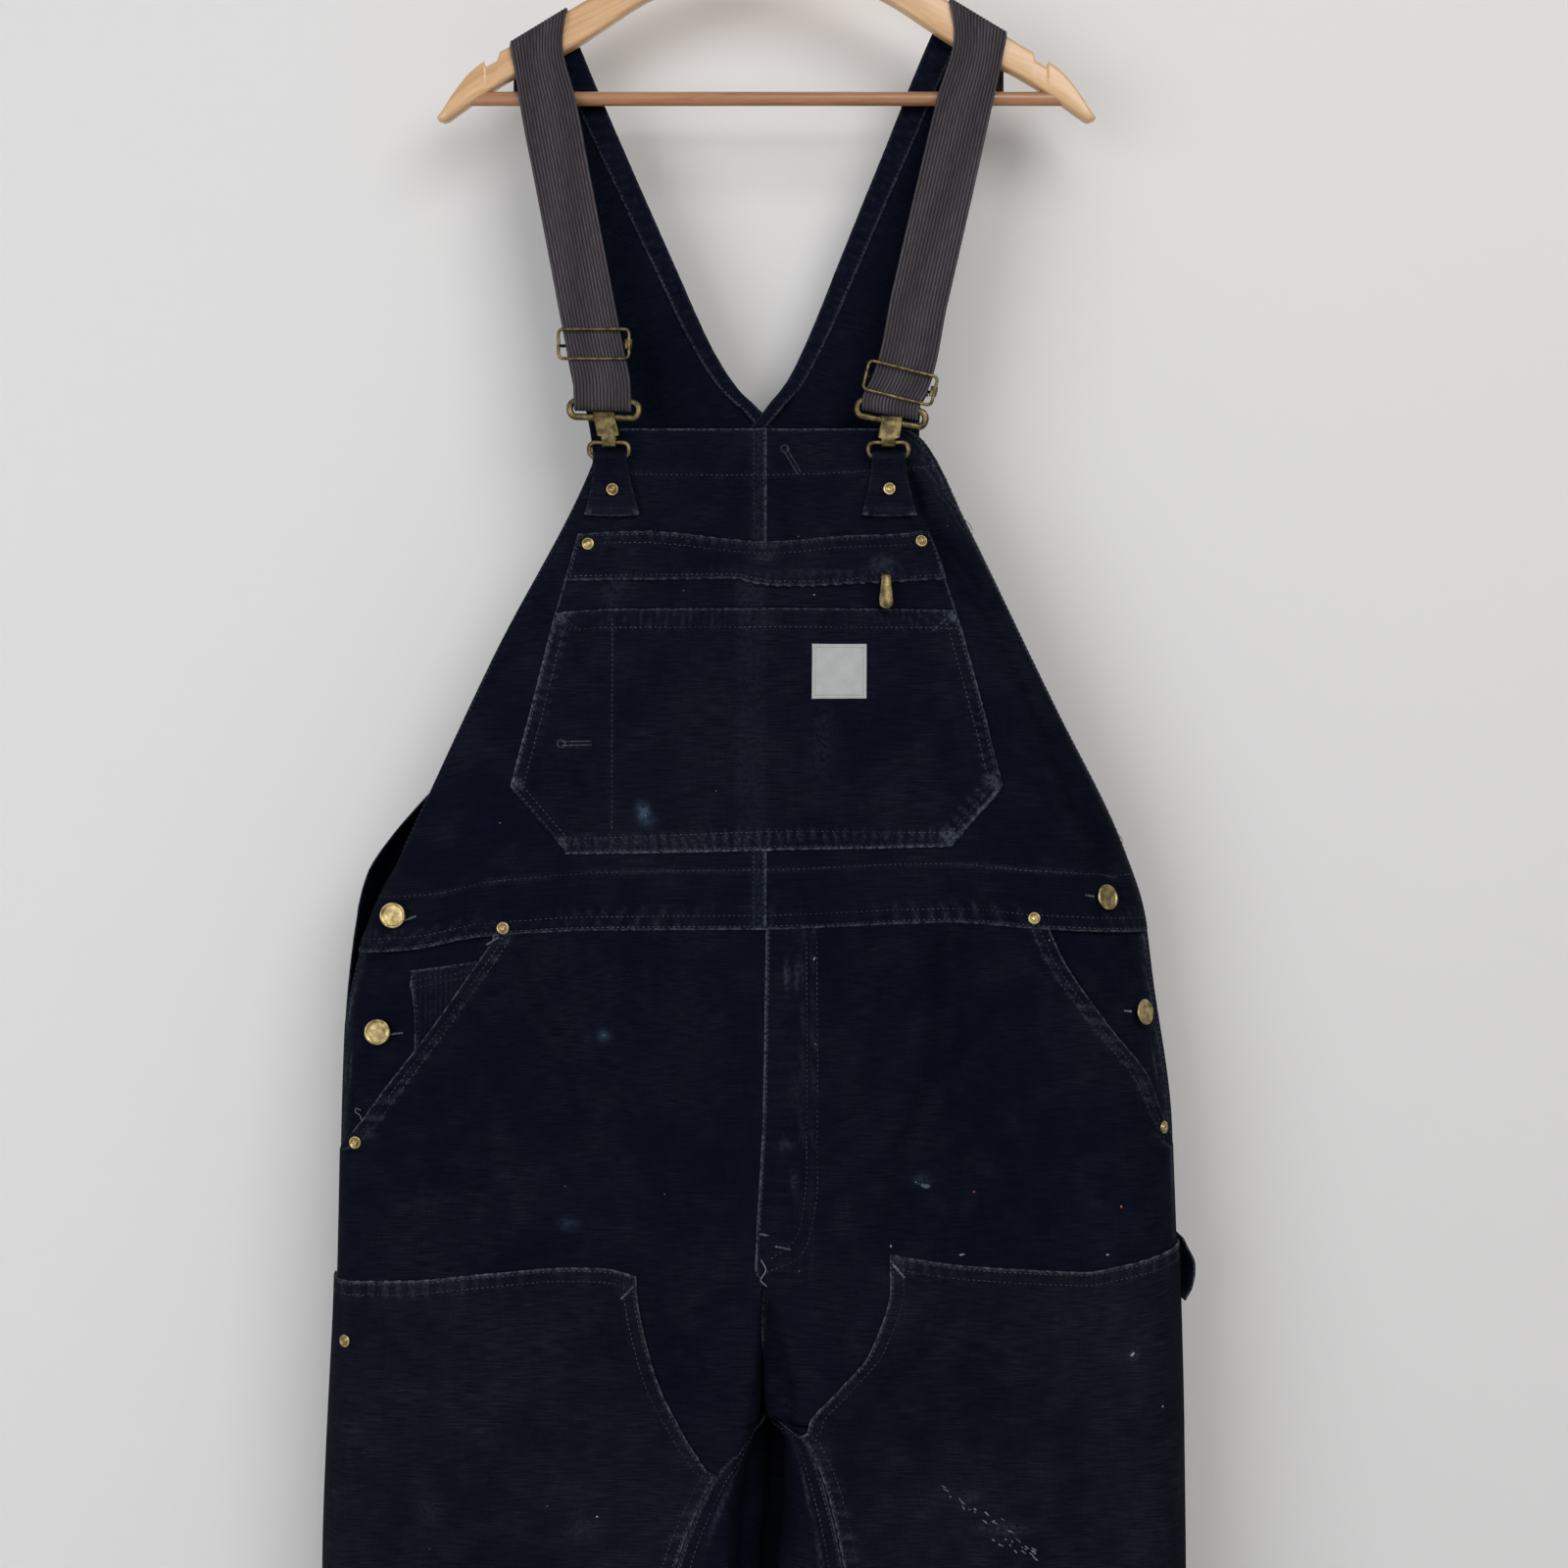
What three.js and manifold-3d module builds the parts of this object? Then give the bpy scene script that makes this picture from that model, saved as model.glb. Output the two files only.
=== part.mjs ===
// Bib overalls of dark duck canvas with doubled knees, hung by their elastic braces from a wooden hanger.
// Millimetres, +Z up. The front of the garment faces -Y and the wearer's left is +X.
// The origin is the point of a rail's surface that the inside of the hanger's hook rests on.
import * as THREE from "three";
import { mergeVertices } from "three/addons/utils/BufferGeometryUtils.js";
import Module from "manifold-3d";

const wasm = await Module();
wasm.setup();

// ---------------------------------------------------------------- driving dimensions
const CLOTH = 1.5; // thickness of the duck canvas
const SEAM = 0.3; // gap between two pieces that meet
const LAYER = 0.7; // gap under a piece that lies on a curved panel
const RIGHT = -1; // the wearer's right, on the -X side
const LEFT = 1;
const FRONT = -1; // faces -Y
const BACK = 1;

const BIB_TOP = -428;
const WAIST = -765;
const POCKET_FOOT = -911; // lower end of the slanted pocket openings
const VALLEY_TOP = -1002; // the centre front starts to turn inwards here
const CROTCH = -1093;
const KNEE_PATCH_FOOT = -1630;
const HEM = -1862;
const CENTRE = -3; // x of the centre front and centre back seams

const { lerp, clamp, degToRad } = THREE.MathUtils;

// ---------------------------------------------------------------- the worn form of the garment
// A monotone curve through stops of [z, value], listed from the top down.
function curve(stops) {
  const slopes = stops.slice(1).map(([z, v], i) => (v - stops[i][1]) / (z - stops[i][0]));
  const tangents = stops.map((_, i) => {
    const before = slopes[Math.max(i - 1, 0)];
    const after = slopes[Math.min(i, slopes.length - 1)];
    return before * after <= 0 ? 0 : (2 * before * after) / (before + after);
  });
  return (z) => {
    const last = stops.length - 2;
    const below = stops.findIndex(([stop]) => stop <= z);
    const i = clamp((below < 0 ? last + 1 : below) - 1, 0, last);
    const height = stops[i + 1][0] - stops[i][0];
    const t = clamp((z - stops[i][0]) / height, 0, 1);
    const rise = stops[i + 1][1] - stops[i][1];
    const bend = tangents[i] * height * t * (1 - t) ** 2 - tangents[i + 1] * height * t * t * (1 - t);
    return stops[i][1] + rise * t * t * (3 - 2 * t) + bend;
  };
}

// x of the outer edge of each face. On the front it is the bib's edge, on the back the armhole's, and below
// the armhole's foot both are the outseam.
const outseam = {
  [RIGHT]: [[-755, -277], [-835, -286], [-1003, -291], [-1204, -299], [-1480, -298], [-1862, -290]],
  [LEFT]: [[-755, 259], [-800, 265], [-904, 278], [-1204, 283], [-1480, 284], [-1862, 276]],
};
const sideX = {
  [RIGHT]: {
    [FRONT]: curve([[-428, -110], [-453, -120], [-708, -257], [-728, -268], ...outseam[RIGHT]]),
    [BACK]: curve([[-150, -172], [-357, -138], [-445, -120], [-506, -133], [-634, -198], [-706, -257], [-728, -270],
      ...outseam[RIGHT]]),
  },
  [LEFT]: {
    [FRONT]: curve([[-428, 98], [-436, 108], [-489, 135], [-614, 195.5], [-708, 243], ...outseam[LEFT]]),
    [BACK]: curve([[-150, 160], [-330, 121], [-431, 104], [-479, 119], [-621, 187], [-708, 240], ...outseam[LEFT]]),
  },
};
// x of the neck's edges, which come down to a point at the centre back.
const neckX = {
  [RIGHT]: curve([[-140, -136], [-162, -128], [-214, -105], [-323, -53], [-363, -35], [-395, -17], [-411, -3.5],
    [-413, CENTRE - SEAM / 2]]),
  [LEFT]: curve([[-140, 120], [-154, 113], [-232, 80], [-306, 48], [-357, 28], [-389, 13], [-411, -2.5],
    [-413, CENTRE + SEAM / 2]]),
};
// How wide the rounded edge of each side is, seen from the front.
const cornerWidth = {
  [RIGHT]: curve([[-428, 8], [-700, 8], [-800, 14], [-1000, 20], [-1204, 26], [-1862, 30]]),
  [LEFT]: curve([[-428, 22], [-600, 26], [-721, 44], [-800, 56], [-1000, 44], [-1204, 30], [-1862, 30]]),
};
// y of the flat middle of the front and of the back.
const middleY = {
  [FRONT]: curve([[-428, -19], [-600, -27], [-765, -36], [-900, -41], [-1100, -43], [-1480, -42], [-1862, -40]]),
  [BACK]: curve([[-157, 10.5], [-200, 10.5], [-428, 13], [-600, 18], [-765, 24], [-900, 29], [-1100, 30], [-1480, 27],
    [-1862, 27]]),
};
// y where the rounded edges of the front and of the back end. Below the armholes the two meet.
const sideY = {
  [RIGHT]: {
    [FRONT]: curve([[-428, -16], [-690, -24], [-735, -15], [-900, -8], [-1100, -6], [-1862, -6]]),
    [BACK]: curve([[-157, 10.5], [-200, 10.5], [-428, 13], [-600, 15], [-690, -2], [-735, -15], [-900, -8], [-1100, -6], [-1862, -6]]),
  },
  [LEFT]: {
    [FRONT]: curve([[-428, -7], [-600, -8], [-690, 2], [-735, 8], [-900, 6], [-1100, -4], [-1862, -6]]),
    [BACK]: curve([[-157, 10.5], [-200, 10.5], [-428, 13], [-690, 14], [-735, 8], [-900, 6], [-1100, -4], [-1862, -6]]),
  },
};
// The inside of each leg: x of its edge, how wide that edge's round is, and y of its middle.
const insideX = {
  [RIGHT]: curve([[CROTCH, CENTRE - SEAM], [-1130, -14], [-1204, -19], [-1480, -30], [-1862, -42]]),
  [LEFT]: curve([[CROTCH, CENTRE + SEAM], [-1112, 12], [-1150, 12], [-1204, 7], [-1480, 18], [-1862, 30]]),
};
const INSIDE_ROUND = 26;
const INSIDE_Y = -6;
// x of the two inseams, which lie on the front of the legs.
const inseamX = {
  [RIGHT]: curve([[-1100, -6], [-1134, -35], [-1204, -61], [-1300, -72], [-1862, -74]]),
  [LEFT]: curve([[-1093, 3], [-1104, 25], [-1204, 52], [-1300, 64], [-1862, 66]]),
};

// How far the centre seam has turned in towards the crotch: 0 at the fly's foot and 1 at the crotch.
function turnedIn(z) {
  const t = clamp((VALLEY_TOP - z) / (VALLEY_TOP - CROTCH), 0, 1);
  return 1 - Math.sqrt(1 - t * t);
}

// x of the edge of one half that is nearest to the centre.
function innerEdge(side, face, z) {
  if (z <= CROTCH) return insideX[side](z);
  return face === BACK ? neckX[side](z) : CENTRE + (side * SEAM) / 2;
}

// The broad folds of each face: a soft ridge (height above 0) or trough from one [x, z] to another.
const folds = {
  [FRONT]: [
    { from: [186, -560], to: [236, -735], width: 20, height: -4 },
    { from: [128, -775], to: [40, -880], width: 24, height: 4 },
    { from: [124, -780], to: [122, -890], width: 22, height: -5 },
    { from: [-160, -790], to: [-130, -850], width: 24, height: -4 },
    { from: [-200, -960], to: [-110, -1010], width: 30, height: 3 },
    { from: [90, -1010], to: [14, -1100], width: 26, height: 3 },
    { from: [-160, -1180], to: [-150, -1800], width: 44, height: 5 },
    { from: [165, -1160], to: [150, -1800], width: 44, height: 5 },
    { from: [-230, -1440], to: [-90, -1490], width: 34, height: -4 },
    { from: [220, -1450], to: [90, -1500], width: 34, height: -4 },
  ],
  [BACK]: [
    { from: [-120, -800], to: [-40, -980], width: 40, height: 6 },
    { from: [120, -800], to: [40, -980], width: 40, height: 6 },
    { from: [-160, -1120], to: [-160, -1800], width: 50, height: 6 },
    { from: [160, -1120], to: [160, -1800], width: 50, height: 6 },
    { from: [-240, -1090], to: [-60, -1070], width: 34, height: -5 },
    { from: [240, -1090], to: [60, -1070], width: 34, height: -5 },
    { from: [-240, -1500], to: [-80, -1470], width: 40, height: -5 },
    { from: [240, -1490], to: [80, -1465], width: 40, height: -5 },
  ],
};

// Height of a face's folds above its even surface.
function relief(face, x, z) {
  return folds[face].reduce((sum, { from, to, width, height }) => {
    const [dx, dz] = [to[0] - from[0], to[1] - from[1]];
    const t = clamp(((x - from[0]) * dx + (z - from[1]) * dz) / (dx * dx + dz * dz), 0, 1);
    const away = Math.hypot(x - from[0] - t * dx, z - from[1] - t * dz);
    return sum + height * Math.exp(-((away / width) ** 2));
  }, 0);
}

// Length of a quarter of an ellipse.
function quarter(a, b) {
  const h = ((a - b) / (a + b + 1e-9)) ** 2;
  return ((Math.PI * (a + b)) / 4) * (1 + (3 * h) / (10 + Math.sqrt(4 - 3 * h)));
}

// A point of one half of the form, at height z: s runs from 0 at the side, over the front, to 1 at the
// centre front or inseam side, and on over the back to 2 at the side again.
function formPoint(side, s, z) {
  const face = s <= 1 ? FRONT : BACK;
  const share = s <= 1 ? s : 2 - s;
  const turned = z > CROTCH ? turnedIn(z) : 1;
  const y = middleY[face](z);
  const outerWidth = cornerWidth[side](z);
  const outerDepth = sideY[side][face](z) - y;
  const innerWidth = INSIDE_ROUND * turned;
  const innerDepth = (INSIDE_Y - y) * turned;
  const outerX = sideX[side][face](z) - side * outerWidth;
  const innerX = innerEdge(side, face, z) + side * innerWidth;
  const first = quarter(outerWidth, Math.abs(outerDepth));
  const middle = Math.abs(outerX - innerX);
  const last = quarter(innerWidth, Math.abs(innerDepth));
  const walked = share * (first + middle + last);
  if (walked < first) {
    const angle = (1 - walked / first) * (Math.PI / 2);
    const x = outerX + side * outerWidth * Math.sin(angle);
    const level = y + outerDepth * (1 - Math.cos(angle));
    return new THREE.Vector3(x, level + face * relief(face, x, z) * Math.cos(angle), z);
  }
  if (walked <= first + middle || last < 1e-6) {
    const x = lerp(outerX, innerX, clamp((walked - first) / middle, 0, 1));
    return new THREE.Vector3(x, y + face * relief(face, x, z), z);
  }
  const angle = ((walked - first - middle) / last) * (Math.PI / 2);
  const x = innerX - side * innerWidth * Math.sin(angle);
  const level = y + innerDepth * (1 - Math.cos(angle));
  return new THREE.Vector3(x, level + face * relief(face, x, z) * Math.cos(angle), z);
}

// A point of the form with its outward normal.
function form(side, s, z) {
  const step = 0.004;
  const [low, high] = z <= CROTCH ? [0, 2] : s <= 1 ? [0, 1] : [1 + 1e-6, 2];
  const along = formPoint(side, clamp(s + step, low, high), z).sub(formPoint(side, clamp(s - step, low, high), z));
  const up = formPoint(side, s, z + 2).sub(formPoint(side, s, z - 2));
  const normal = new THREE.Vector3().crossVectors(along, up).multiplyScalar(-side).normalize();
  return { point: formPoint(side, s, z), normal };
}

// The s at which a face of one half has the given x.
function shareAt(side, face, x, z) {
  let [low, high] = [0, 1];
  const of = (share) => formPoint(side, face === FRONT ? share : 2 - share - 1e-9, z).x;
  for (let i = 0; i < 24; i += 1) {
    const mid = (low + high) / 2;
    if ((x - of(mid)) * side < 0) low = mid;
    else high = mid;
  }
  const share = (low + high) / 2;
  return face === FRONT ? share : 2 - share;
}

// The form's surface at an x and z on the front or the back.
function surface(face, x, z) {
  const side = x < CENTRE ? RIGHT : LEFT;
  return form(side, shareAt(side, face, x, z), z);
}

// ---------------------------------------------------------------- solids from walls of cloth
// An indexed solid, turned so that its faces point outwards.
function solid(points, triangles) {
  const volume = triangles.reduce((sum, [a, b, c]) => {
    const cross = new THREE.Vector3().crossVectors(points[b], points[c]);
    return sum + points[a].dot(cross);
  }, 0);
  const index = triangles.flatMap(([a, b, c]) => (volume < 0 ? [a, c, b] : [a, b, c]));
  const geometry = new THREE.BufferGeometry();
  geometry.setAttribute("position", new THREE.Float32BufferAttribute(points.flatMap((p) => p.toArray()), 3));
  geometry.setIndex(index);
  geometry.computeVertexNormals();
  return geometry;
}

// A closed wall: at(u, v) gives a point and normal, and the wall reaches from inner to outer along the normal.
function wall(at, columns, rows, inner, outer) {
  const across = Array.isArray(columns) ? columns : Array.from({ length: columns + 1 }, (_, i) => i / columns);
  const down = Array.isArray(rows) ? rows : Array.from({ length: rows + 1 }, (_, j) => j / rows);
  const [wide, high] = [across.length, down.length];
  const points = [];
  for (const offset of [outer, inner])
    for (const v of down)
      for (const u of across) {
        const { point, normal } = at(u, v);
        points.push(point.clone().addScaledVector(normal, offset));
      }
  const id = (layer, i, j) => layer * wide * high + j * wide + i;
  const triangles = [];
  const quad = (a, b, c, d) => triangles.push([a, b, c], [a, c, d]);
  for (let j = 0; j + 1 < high; j += 1)
    for (let i = 0; i + 1 < wide; i += 1) {
      quad(id(0, i, j), id(0, i, j + 1), id(0, i + 1, j + 1), id(0, i + 1, j));
      quad(id(1, i, j), id(1, i + 1, j), id(1, i + 1, j + 1), id(1, i, j + 1));
    }
  for (let i = 0; i + 1 < wide; i += 1) {
    quad(id(0, i, 0), id(0, i + 1, 0), id(1, i + 1, 0), id(1, i, 0));
    quad(id(0, i, high - 1), id(1, i, high - 1), id(1, i + 1, high - 1), id(0, i + 1, high - 1));
  }
  for (let j = 0; j + 1 < high; j += 1) {
    quad(id(0, 0, j), id(1, 0, j), id(1, 0, j + 1), id(0, 0, j + 1));
    quad(id(0, wide - 1, j), id(0, wide - 1, j + 1), id(1, wide - 1, j + 1), id(1, wide - 1, j));
  }
  return solid(points, triangles);
}

// A patch that lies on a face, between x limits that depend on z and z limits that depend on x.
function patch(face, { left, right, top, bottom, columns, rows, inner, outer }) {
  const edge = (value) => (typeof value === "function" ? value : () => value);
  const [xLow, xHigh, zHigh, zLow] = [left, right, top, bottom].map(edge);
  return wall(
    (u, v) => {
      let z = lerp(zHigh(0), zLow(0), v);
      let x = 0;
      for (let i = 0; i < 4; i += 1) {
        x = lerp(xLow(z), xHigh(z), u);
        z = lerp(zHigh(x), zLow(x), v);
      }
      return surface(face, x, z);
    },
    columns, rows, inner, outer,
  );
}

// A ribbon of even thickness. Each station gives its two edge points.
function ribbon(stations, thickness, columns = 1) {
  const rows = stations.map((_, j) => j / (stations.length - 1));
  return wall(
    (u, v) => {
      const j = Math.round(v * (stations.length - 1));
      const [a, b] = stations[j];
      const before = stations[Math.max(j - 1, 0)];
      const after = stations[Math.min(j + 1, stations.length - 1)];
      const run = after[0].clone().add(after[1]).sub(before[0]).sub(before[1]);
      const normal = new THREE.Vector3().crossVectors(b.clone().sub(a), run).normalize();
      return { point: a.clone().lerp(b, u), normal };
    },
    columns, rows, -thickness / 2, thickness / 2,
  );
}

// Joins or cuts closed geometries.
function toManifold(geometry) {
  const bare = geometry.clone();
  bare.deleteAttribute("normal");
  bare.deleteAttribute("uv");
  const merged = mergeVertices(bare, 1e-4);
  return new wasm.Manifold(new wasm.Mesh({
    numProp: 3,
    vertProperties: merged.attributes.position.array,
    triVerts: new Uint32Array(merged.index.array),
  }));
}
function fromManifold(manifold) {
  const mesh = manifold.getMesh();
  const geometry = new THREE.BufferGeometry();
  geometry.setAttribute("position", new THREE.Float32BufferAttribute(mesh.vertProperties, 3));
  geometry.setIndex(new THREE.BufferAttribute(mesh.triVerts, 1));
  geometry.computeVertexNormals();
  return geometry;
}
const join = (...parts) => fromManifold(parts.map(toManifold).reduce((a, b) => a.add(b)));
const cut = (part, ...tools) => fromManifold(tools.map(toManifold).reduce((a, b) => a.subtract(b), toManifold(part)));

// A bar of round section along straight and curved stretches, with flat ends.
function bar(path, radius, steps, sides = 6) {
  const section = new THREE.Shape();
  for (let i = 0; i < sides; i += 1) {
    const angle = (2 * Math.PI * i) / sides;
    const go = i ? "lineTo" : "moveTo";
    section[go](radius * Math.cos(angle), radius * Math.sin(angle));
  }
  return new THREE.ExtrudeGeometry(section, { extrudePath: path, steps, curveSegments: 1 });
}

// A wire bent into a rounded rectangle in the XZ plane.
function wireLoop(width, height, wire, corner, sides = 5) {
  const points = [];
  const [halfWidth, halfHeight] = [width, height].map((outer) => (outer - wire) / 2 - corner);
  [[1, 1, 0], [-1, 1, 90], [-1, -1, 180], [1, -1, 270]].forEach(([sx, sz, start]) => {
    for (const turn of [0, 45, 90]) {
      const angle = degToRad(start + turn);
      points.push(new THREE.Vector3(
        sx * halfWidth + corner * Math.cos(angle), 0, sz * halfHeight + corner * Math.sin(angle)));
    }
  });
  return new THREE.TubeGeometry(new THREE.CatmullRomCurve3(points, true, "centripetal"), 18, wire / 2, sides, true);
}

// ---------------------------------------------------------------- materials
const material = (color, roughness, metalness = 0) =>
  new THREE.MeshStandardMaterial({ color, roughness, metalness, side: THREE.DoubleSide });
const duck = material(0x12151f, 0.9);
const elastic = material(0x2e2b30, 0.95);
const brass = material(0x8a763f, 0.38, 1);
const labelCloth = material(0x9ea09c, 0.85);
const beech = material(0xb98a5c, 0.5);
const steel = material(0xb4b6ba, 0.25, 1);

const overalls = new THREE.Group();
function add(name, geometry, surfaceMaterial) {
  const mesh = new THREE.Mesh(geometry, surfaceMaterial);
  mesh.name = name;
  overalls.add(mesh);
  return mesh;
}
const sideName = { [RIGHT]: "right", [LEFT]: "left" };

// ---------------------------------------------------------------- bib
// The seam that joins the bib to the trousers dips towards the sides.
const waistStops = [[-285, -781], [-240, -779], [-190, -770], [-120, -766], [0, -765], [125, -760.5], [185, -765],
  [260, -768]];
const waistCurve = curve(waistStops.map(([x, z]) => [-x, z]));
const waistSeam = (x) => waistCurve(-x);
const GAP = 0.0008; // a seam's gap at a panel's edge, as a share of the panel's width
const SIDE_GAP = 0.0035; // the same where the bib meets the back, over the buttoned side opening

function bibHalf(side) {
  return wall(
    (u, v) => {
      const s = lerp(SIDE_GAP, 1, u);
      let z = lerp(BIB_TOP, WAIST, v);
      for (let i = 0; i < 4; i += 1) z = lerp(BIB_TOP, waistSeam(formPoint(side, s, z).x), v);
      return form(side, s, z);
    },
    [0, 0.04, 0.09, 0.16, 0.28, 0.42, 0.56, 0.7, 0.85, 1], 12, -CLOTH, 0,
  );
}
for (const side of [RIGHT, LEFT]) add(`bib_${sideName[side]}`, bibHalf(side), duck);

// ---------------------------------------------------------------- chest pocket
const POCKET_TOP = -499;
const FLAP_FOOT = -531;
const PATCH_TOP = -551;
const PATCH_CORNER = -670;
const PATCH_FOOT = -712;
const CUT_CORNER = 37; // the two lower corners are cut off over this width
const pocketLeft = curve([[POCKET_TOP, -126], [PATCH_TOP, -141], [PATCH_CORNER, -171]]);
const pocketRight = curve([[POCKET_TOP, 108.5], [PATCH_TOP, 127.5], [PATCH_CORNER, 159]]);
const cutOff = (z) => clamp((PATCH_CORNER - z) / (PATCH_CORNER - PATCH_FOOT), 0, 1) * CUT_CORNER;
const pocketEdges = {
  left: (z) => pocketLeft(z) + cutOff(z),
  right: (z) => pocketRight(z) - cutOff(z),
};
const PATCH_THICK = 1.3;
const PATCH_LAYER = { inner: LAYER, outer: LAYER + PATCH_THICK };
const FLAP_LAYER = { inner: 2 * LAYER + PATCH_THICK, outer: 2 * LAYER + 2 * PATCH_THICK };
const ZIP_BAND_HIDDEN = 9; // height of the zip band that the flap covers
const patchRows = [0, 0.2, 0.4, 0.6, (PATCH_TOP - PATCH_CORNER) / (PATCH_TOP - PATCH_FOOT), 1];
add("bib_pocket_patch", patch(FRONT, {
  ...pocketEdges, top: PATCH_TOP, bottom: PATCH_FOOT, columns: 10, rows: patchRows, ...PATCH_LAYER,
}), duck);
add("bib_pocket_zip_band", patch(FRONT, {
  ...pocketEdges, top: FLAP_FOOT + ZIP_BAND_HIDDEN, bottom: PATCH_TOP + SEAM, columns: 10, rows: 2, ...PATCH_LAYER,
}), duck);
add("bib_pocket_zip_flap", patch(FRONT, {
  ...pocketEdges, top: POCKET_TOP, bottom: FLAP_FOOT, columns: 10, rows: 2, ...FLAP_LAYER,
}), duck);
const LABEL = { left: 30.5, right: 67.5, top: -574, bottom: -611, thick: 0.8 };
add("bib_label", patch(FRONT, {
  ...LABEL, columns: 2, rows: 2, inner: PATCH_LAYER.outer + SEAM, outer: PATCH_LAYER.outer + SEAM + LABEL.thick,
}), labelCloth);

// Stands a mesh on the garment: its +Z is the cloth's outward normal there and its +Y points up the cloth.
function standOn(mesh, face, x, z, lift) {
  const { point, normal } = surface(face, x, z);
  const up = new THREE.Vector3(0, 0, 1).addScaledVector(normal, -normal.z).normalize();
  const across = new THREE.Vector3().crossVectors(up, normal);
  mesh.quaternion.setFromRotationMatrix(new THREE.Matrix4().makeBasis(across, up, normal));
  mesh.position.copy(point).addScaledVector(normal, lift);
  return mesh;
}

// ---------------------------------------------------------------- zip slider and its pull tab
const PULL = { x: 80, top: -529, length: 23, topWidth: 6, footWidth: 9.5, thick: 1.6, lift: 4 };
const SLIDER = { width: 7, height: 8, thick: 2.4 };
function pullShape() {
  const foot = PULL.footWidth / 2;
  const outline = new THREE.Shape();
  outline.moveTo(PULL.topWidth / 2, 0);
  outline.lineTo(-PULL.topWidth / 2, 0);
  outline.lineTo(-foot, -PULL.length + foot);
  outline.absarc(0, -PULL.length + foot, foot, Math.PI, 2 * Math.PI, false);
  return new THREE.ExtrudeGeometry(outline, { depth: PULL.thick, bevelEnabled: false, curveSegments: 6 });
}
standOn(add("bib_zip_slider", new THREE.BoxGeometry(SLIDER.width, SLIDER.height, SLIDER.thick), brass),
  FRONT, PULL.x, PULL.top + SLIDER.height / 2 + 1, FLAP_LAYER.outer + 0.6 + SLIDER.thick / 2);
standOn(add("bib_zip_pull", pullShape(), brass), FRONT, PULL.x, PULL.top, FLAP_LAYER.outer + PULL.lift);

// ---------------------------------------------------------------- tabs and rings of the bib
// A cloth tab is folded round the lower bar of a ring, and each brace ends in a clip that is hooked on the ring.
const braces = {
  [RIGHT]: {
    ringX: -105.5, armX: -155, clip: [-108.6, -414.6], clipLean: -1.5, adjuster: [-115.6, -372.8], adjusterLean: 0,
  },
  [LEFT]: {
    ringX: 82, armX: 144, clip: [84.3, -418], clipLean: -11, adjuster: [90, -399], adjusterLean: -14,
  },
};
const RING = { z: -443.5, width: 30, height: 13, wire: 3.2, corner: 3.2, y: -25 };
const TAB = { foot: -487, topWidth: 20, footWidth: 37, thick: 1.4 };

function tab(ringX) {
  const barZ = RING.z - RING.height / 2 + RING.wire / 2;
  const around = RING.wire / 2 + 2 * SEAM + TAB.thick / 2;
  const halfWidth = (z) => lerp(TAB.footWidth, TAB.topWidth, clamp((z - TAB.foot) / 34, 0, 1)) / 2;
  const edge = (y, z) => [new THREE.Vector3(ringX - halfWidth(z), y, z), new THREE.Vector3(ringX + halfWidth(z), y, z)];
  const panelY = (z) => surface(FRONT, ringX, z).point.y;
  const levels = [TAB.foot, lerp(TAB.foot, barZ, 0.45), barZ - 8];
  const turn = [0, 45, 90, 135, 180].map(degToRad);
  return ribbon([
    ...levels.map((z) => edge(panelY(z) - LAYER - TAB.thick / 2, z)),
    ...turn.map((angle) => edge(RING.y + around * Math.cos(angle), barZ + around * Math.sin(angle))),
    ...levels.reverse().map((z) => edge(panelY(z) - LAYER - 1.5 * TAB.thick - SEAM, z)),
  ], TAB.thick);
}
for (const side of [RIGHT, LEFT]) {
  const { ringX } = braces[side];
  add(`bib_tab_${sideName[side]}`, tab(ringX), duck);
  add(`bib_ring_${sideName[side]}`, wireLoop(RING.width, RING.height, RING.wire, RING.corner), brass)
    .position.set(ringX, RING.y, RING.z);
}

// ---------------------------------------------------------------- braces, clips and adjusters
const WEB = { width: 38.5, thick: 1.8 };
const CLIP = { width: 50.6, height: 13.4, wire: 4, y: -22, plateWidth: 15.6, plateThick: 1.6 };
const ADJUSTER = { width: 48, height: 22, wire: 2.2, y: -20.5 };
const WEB_CLEAR = 0.3 + WEB.thick / 2; // from a wire's surface to the middle of the webbing that lies on it

// Height of the top of the hanger's arms.
const armCurve = curve([[0, -78], [-60, -97], [-120, -132], [-173, -164], [-200, -181], [-224, -212]]);
const armTop = (x) => armCurve(-Math.abs(x));
const ARM_THICK = 12;
const HORN_BELOW_ARM = 9; // the back's horns end this far below the top of the arm

// A pair of edge points of the webbing, round a middle point, with its width leaning by an angle.
function webEdges(x, y, z, lean, width = WEB.width) {
  const half = width / 2;
  const [dx, dz] = [half * Math.cos(degToRad(lean)), half * Math.sin(degToRad(lean))];
  return [new THREE.Vector3(x - dx, y, z - dz), new THREE.Vector3(x + dx, y, z + dz)];
}

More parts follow.
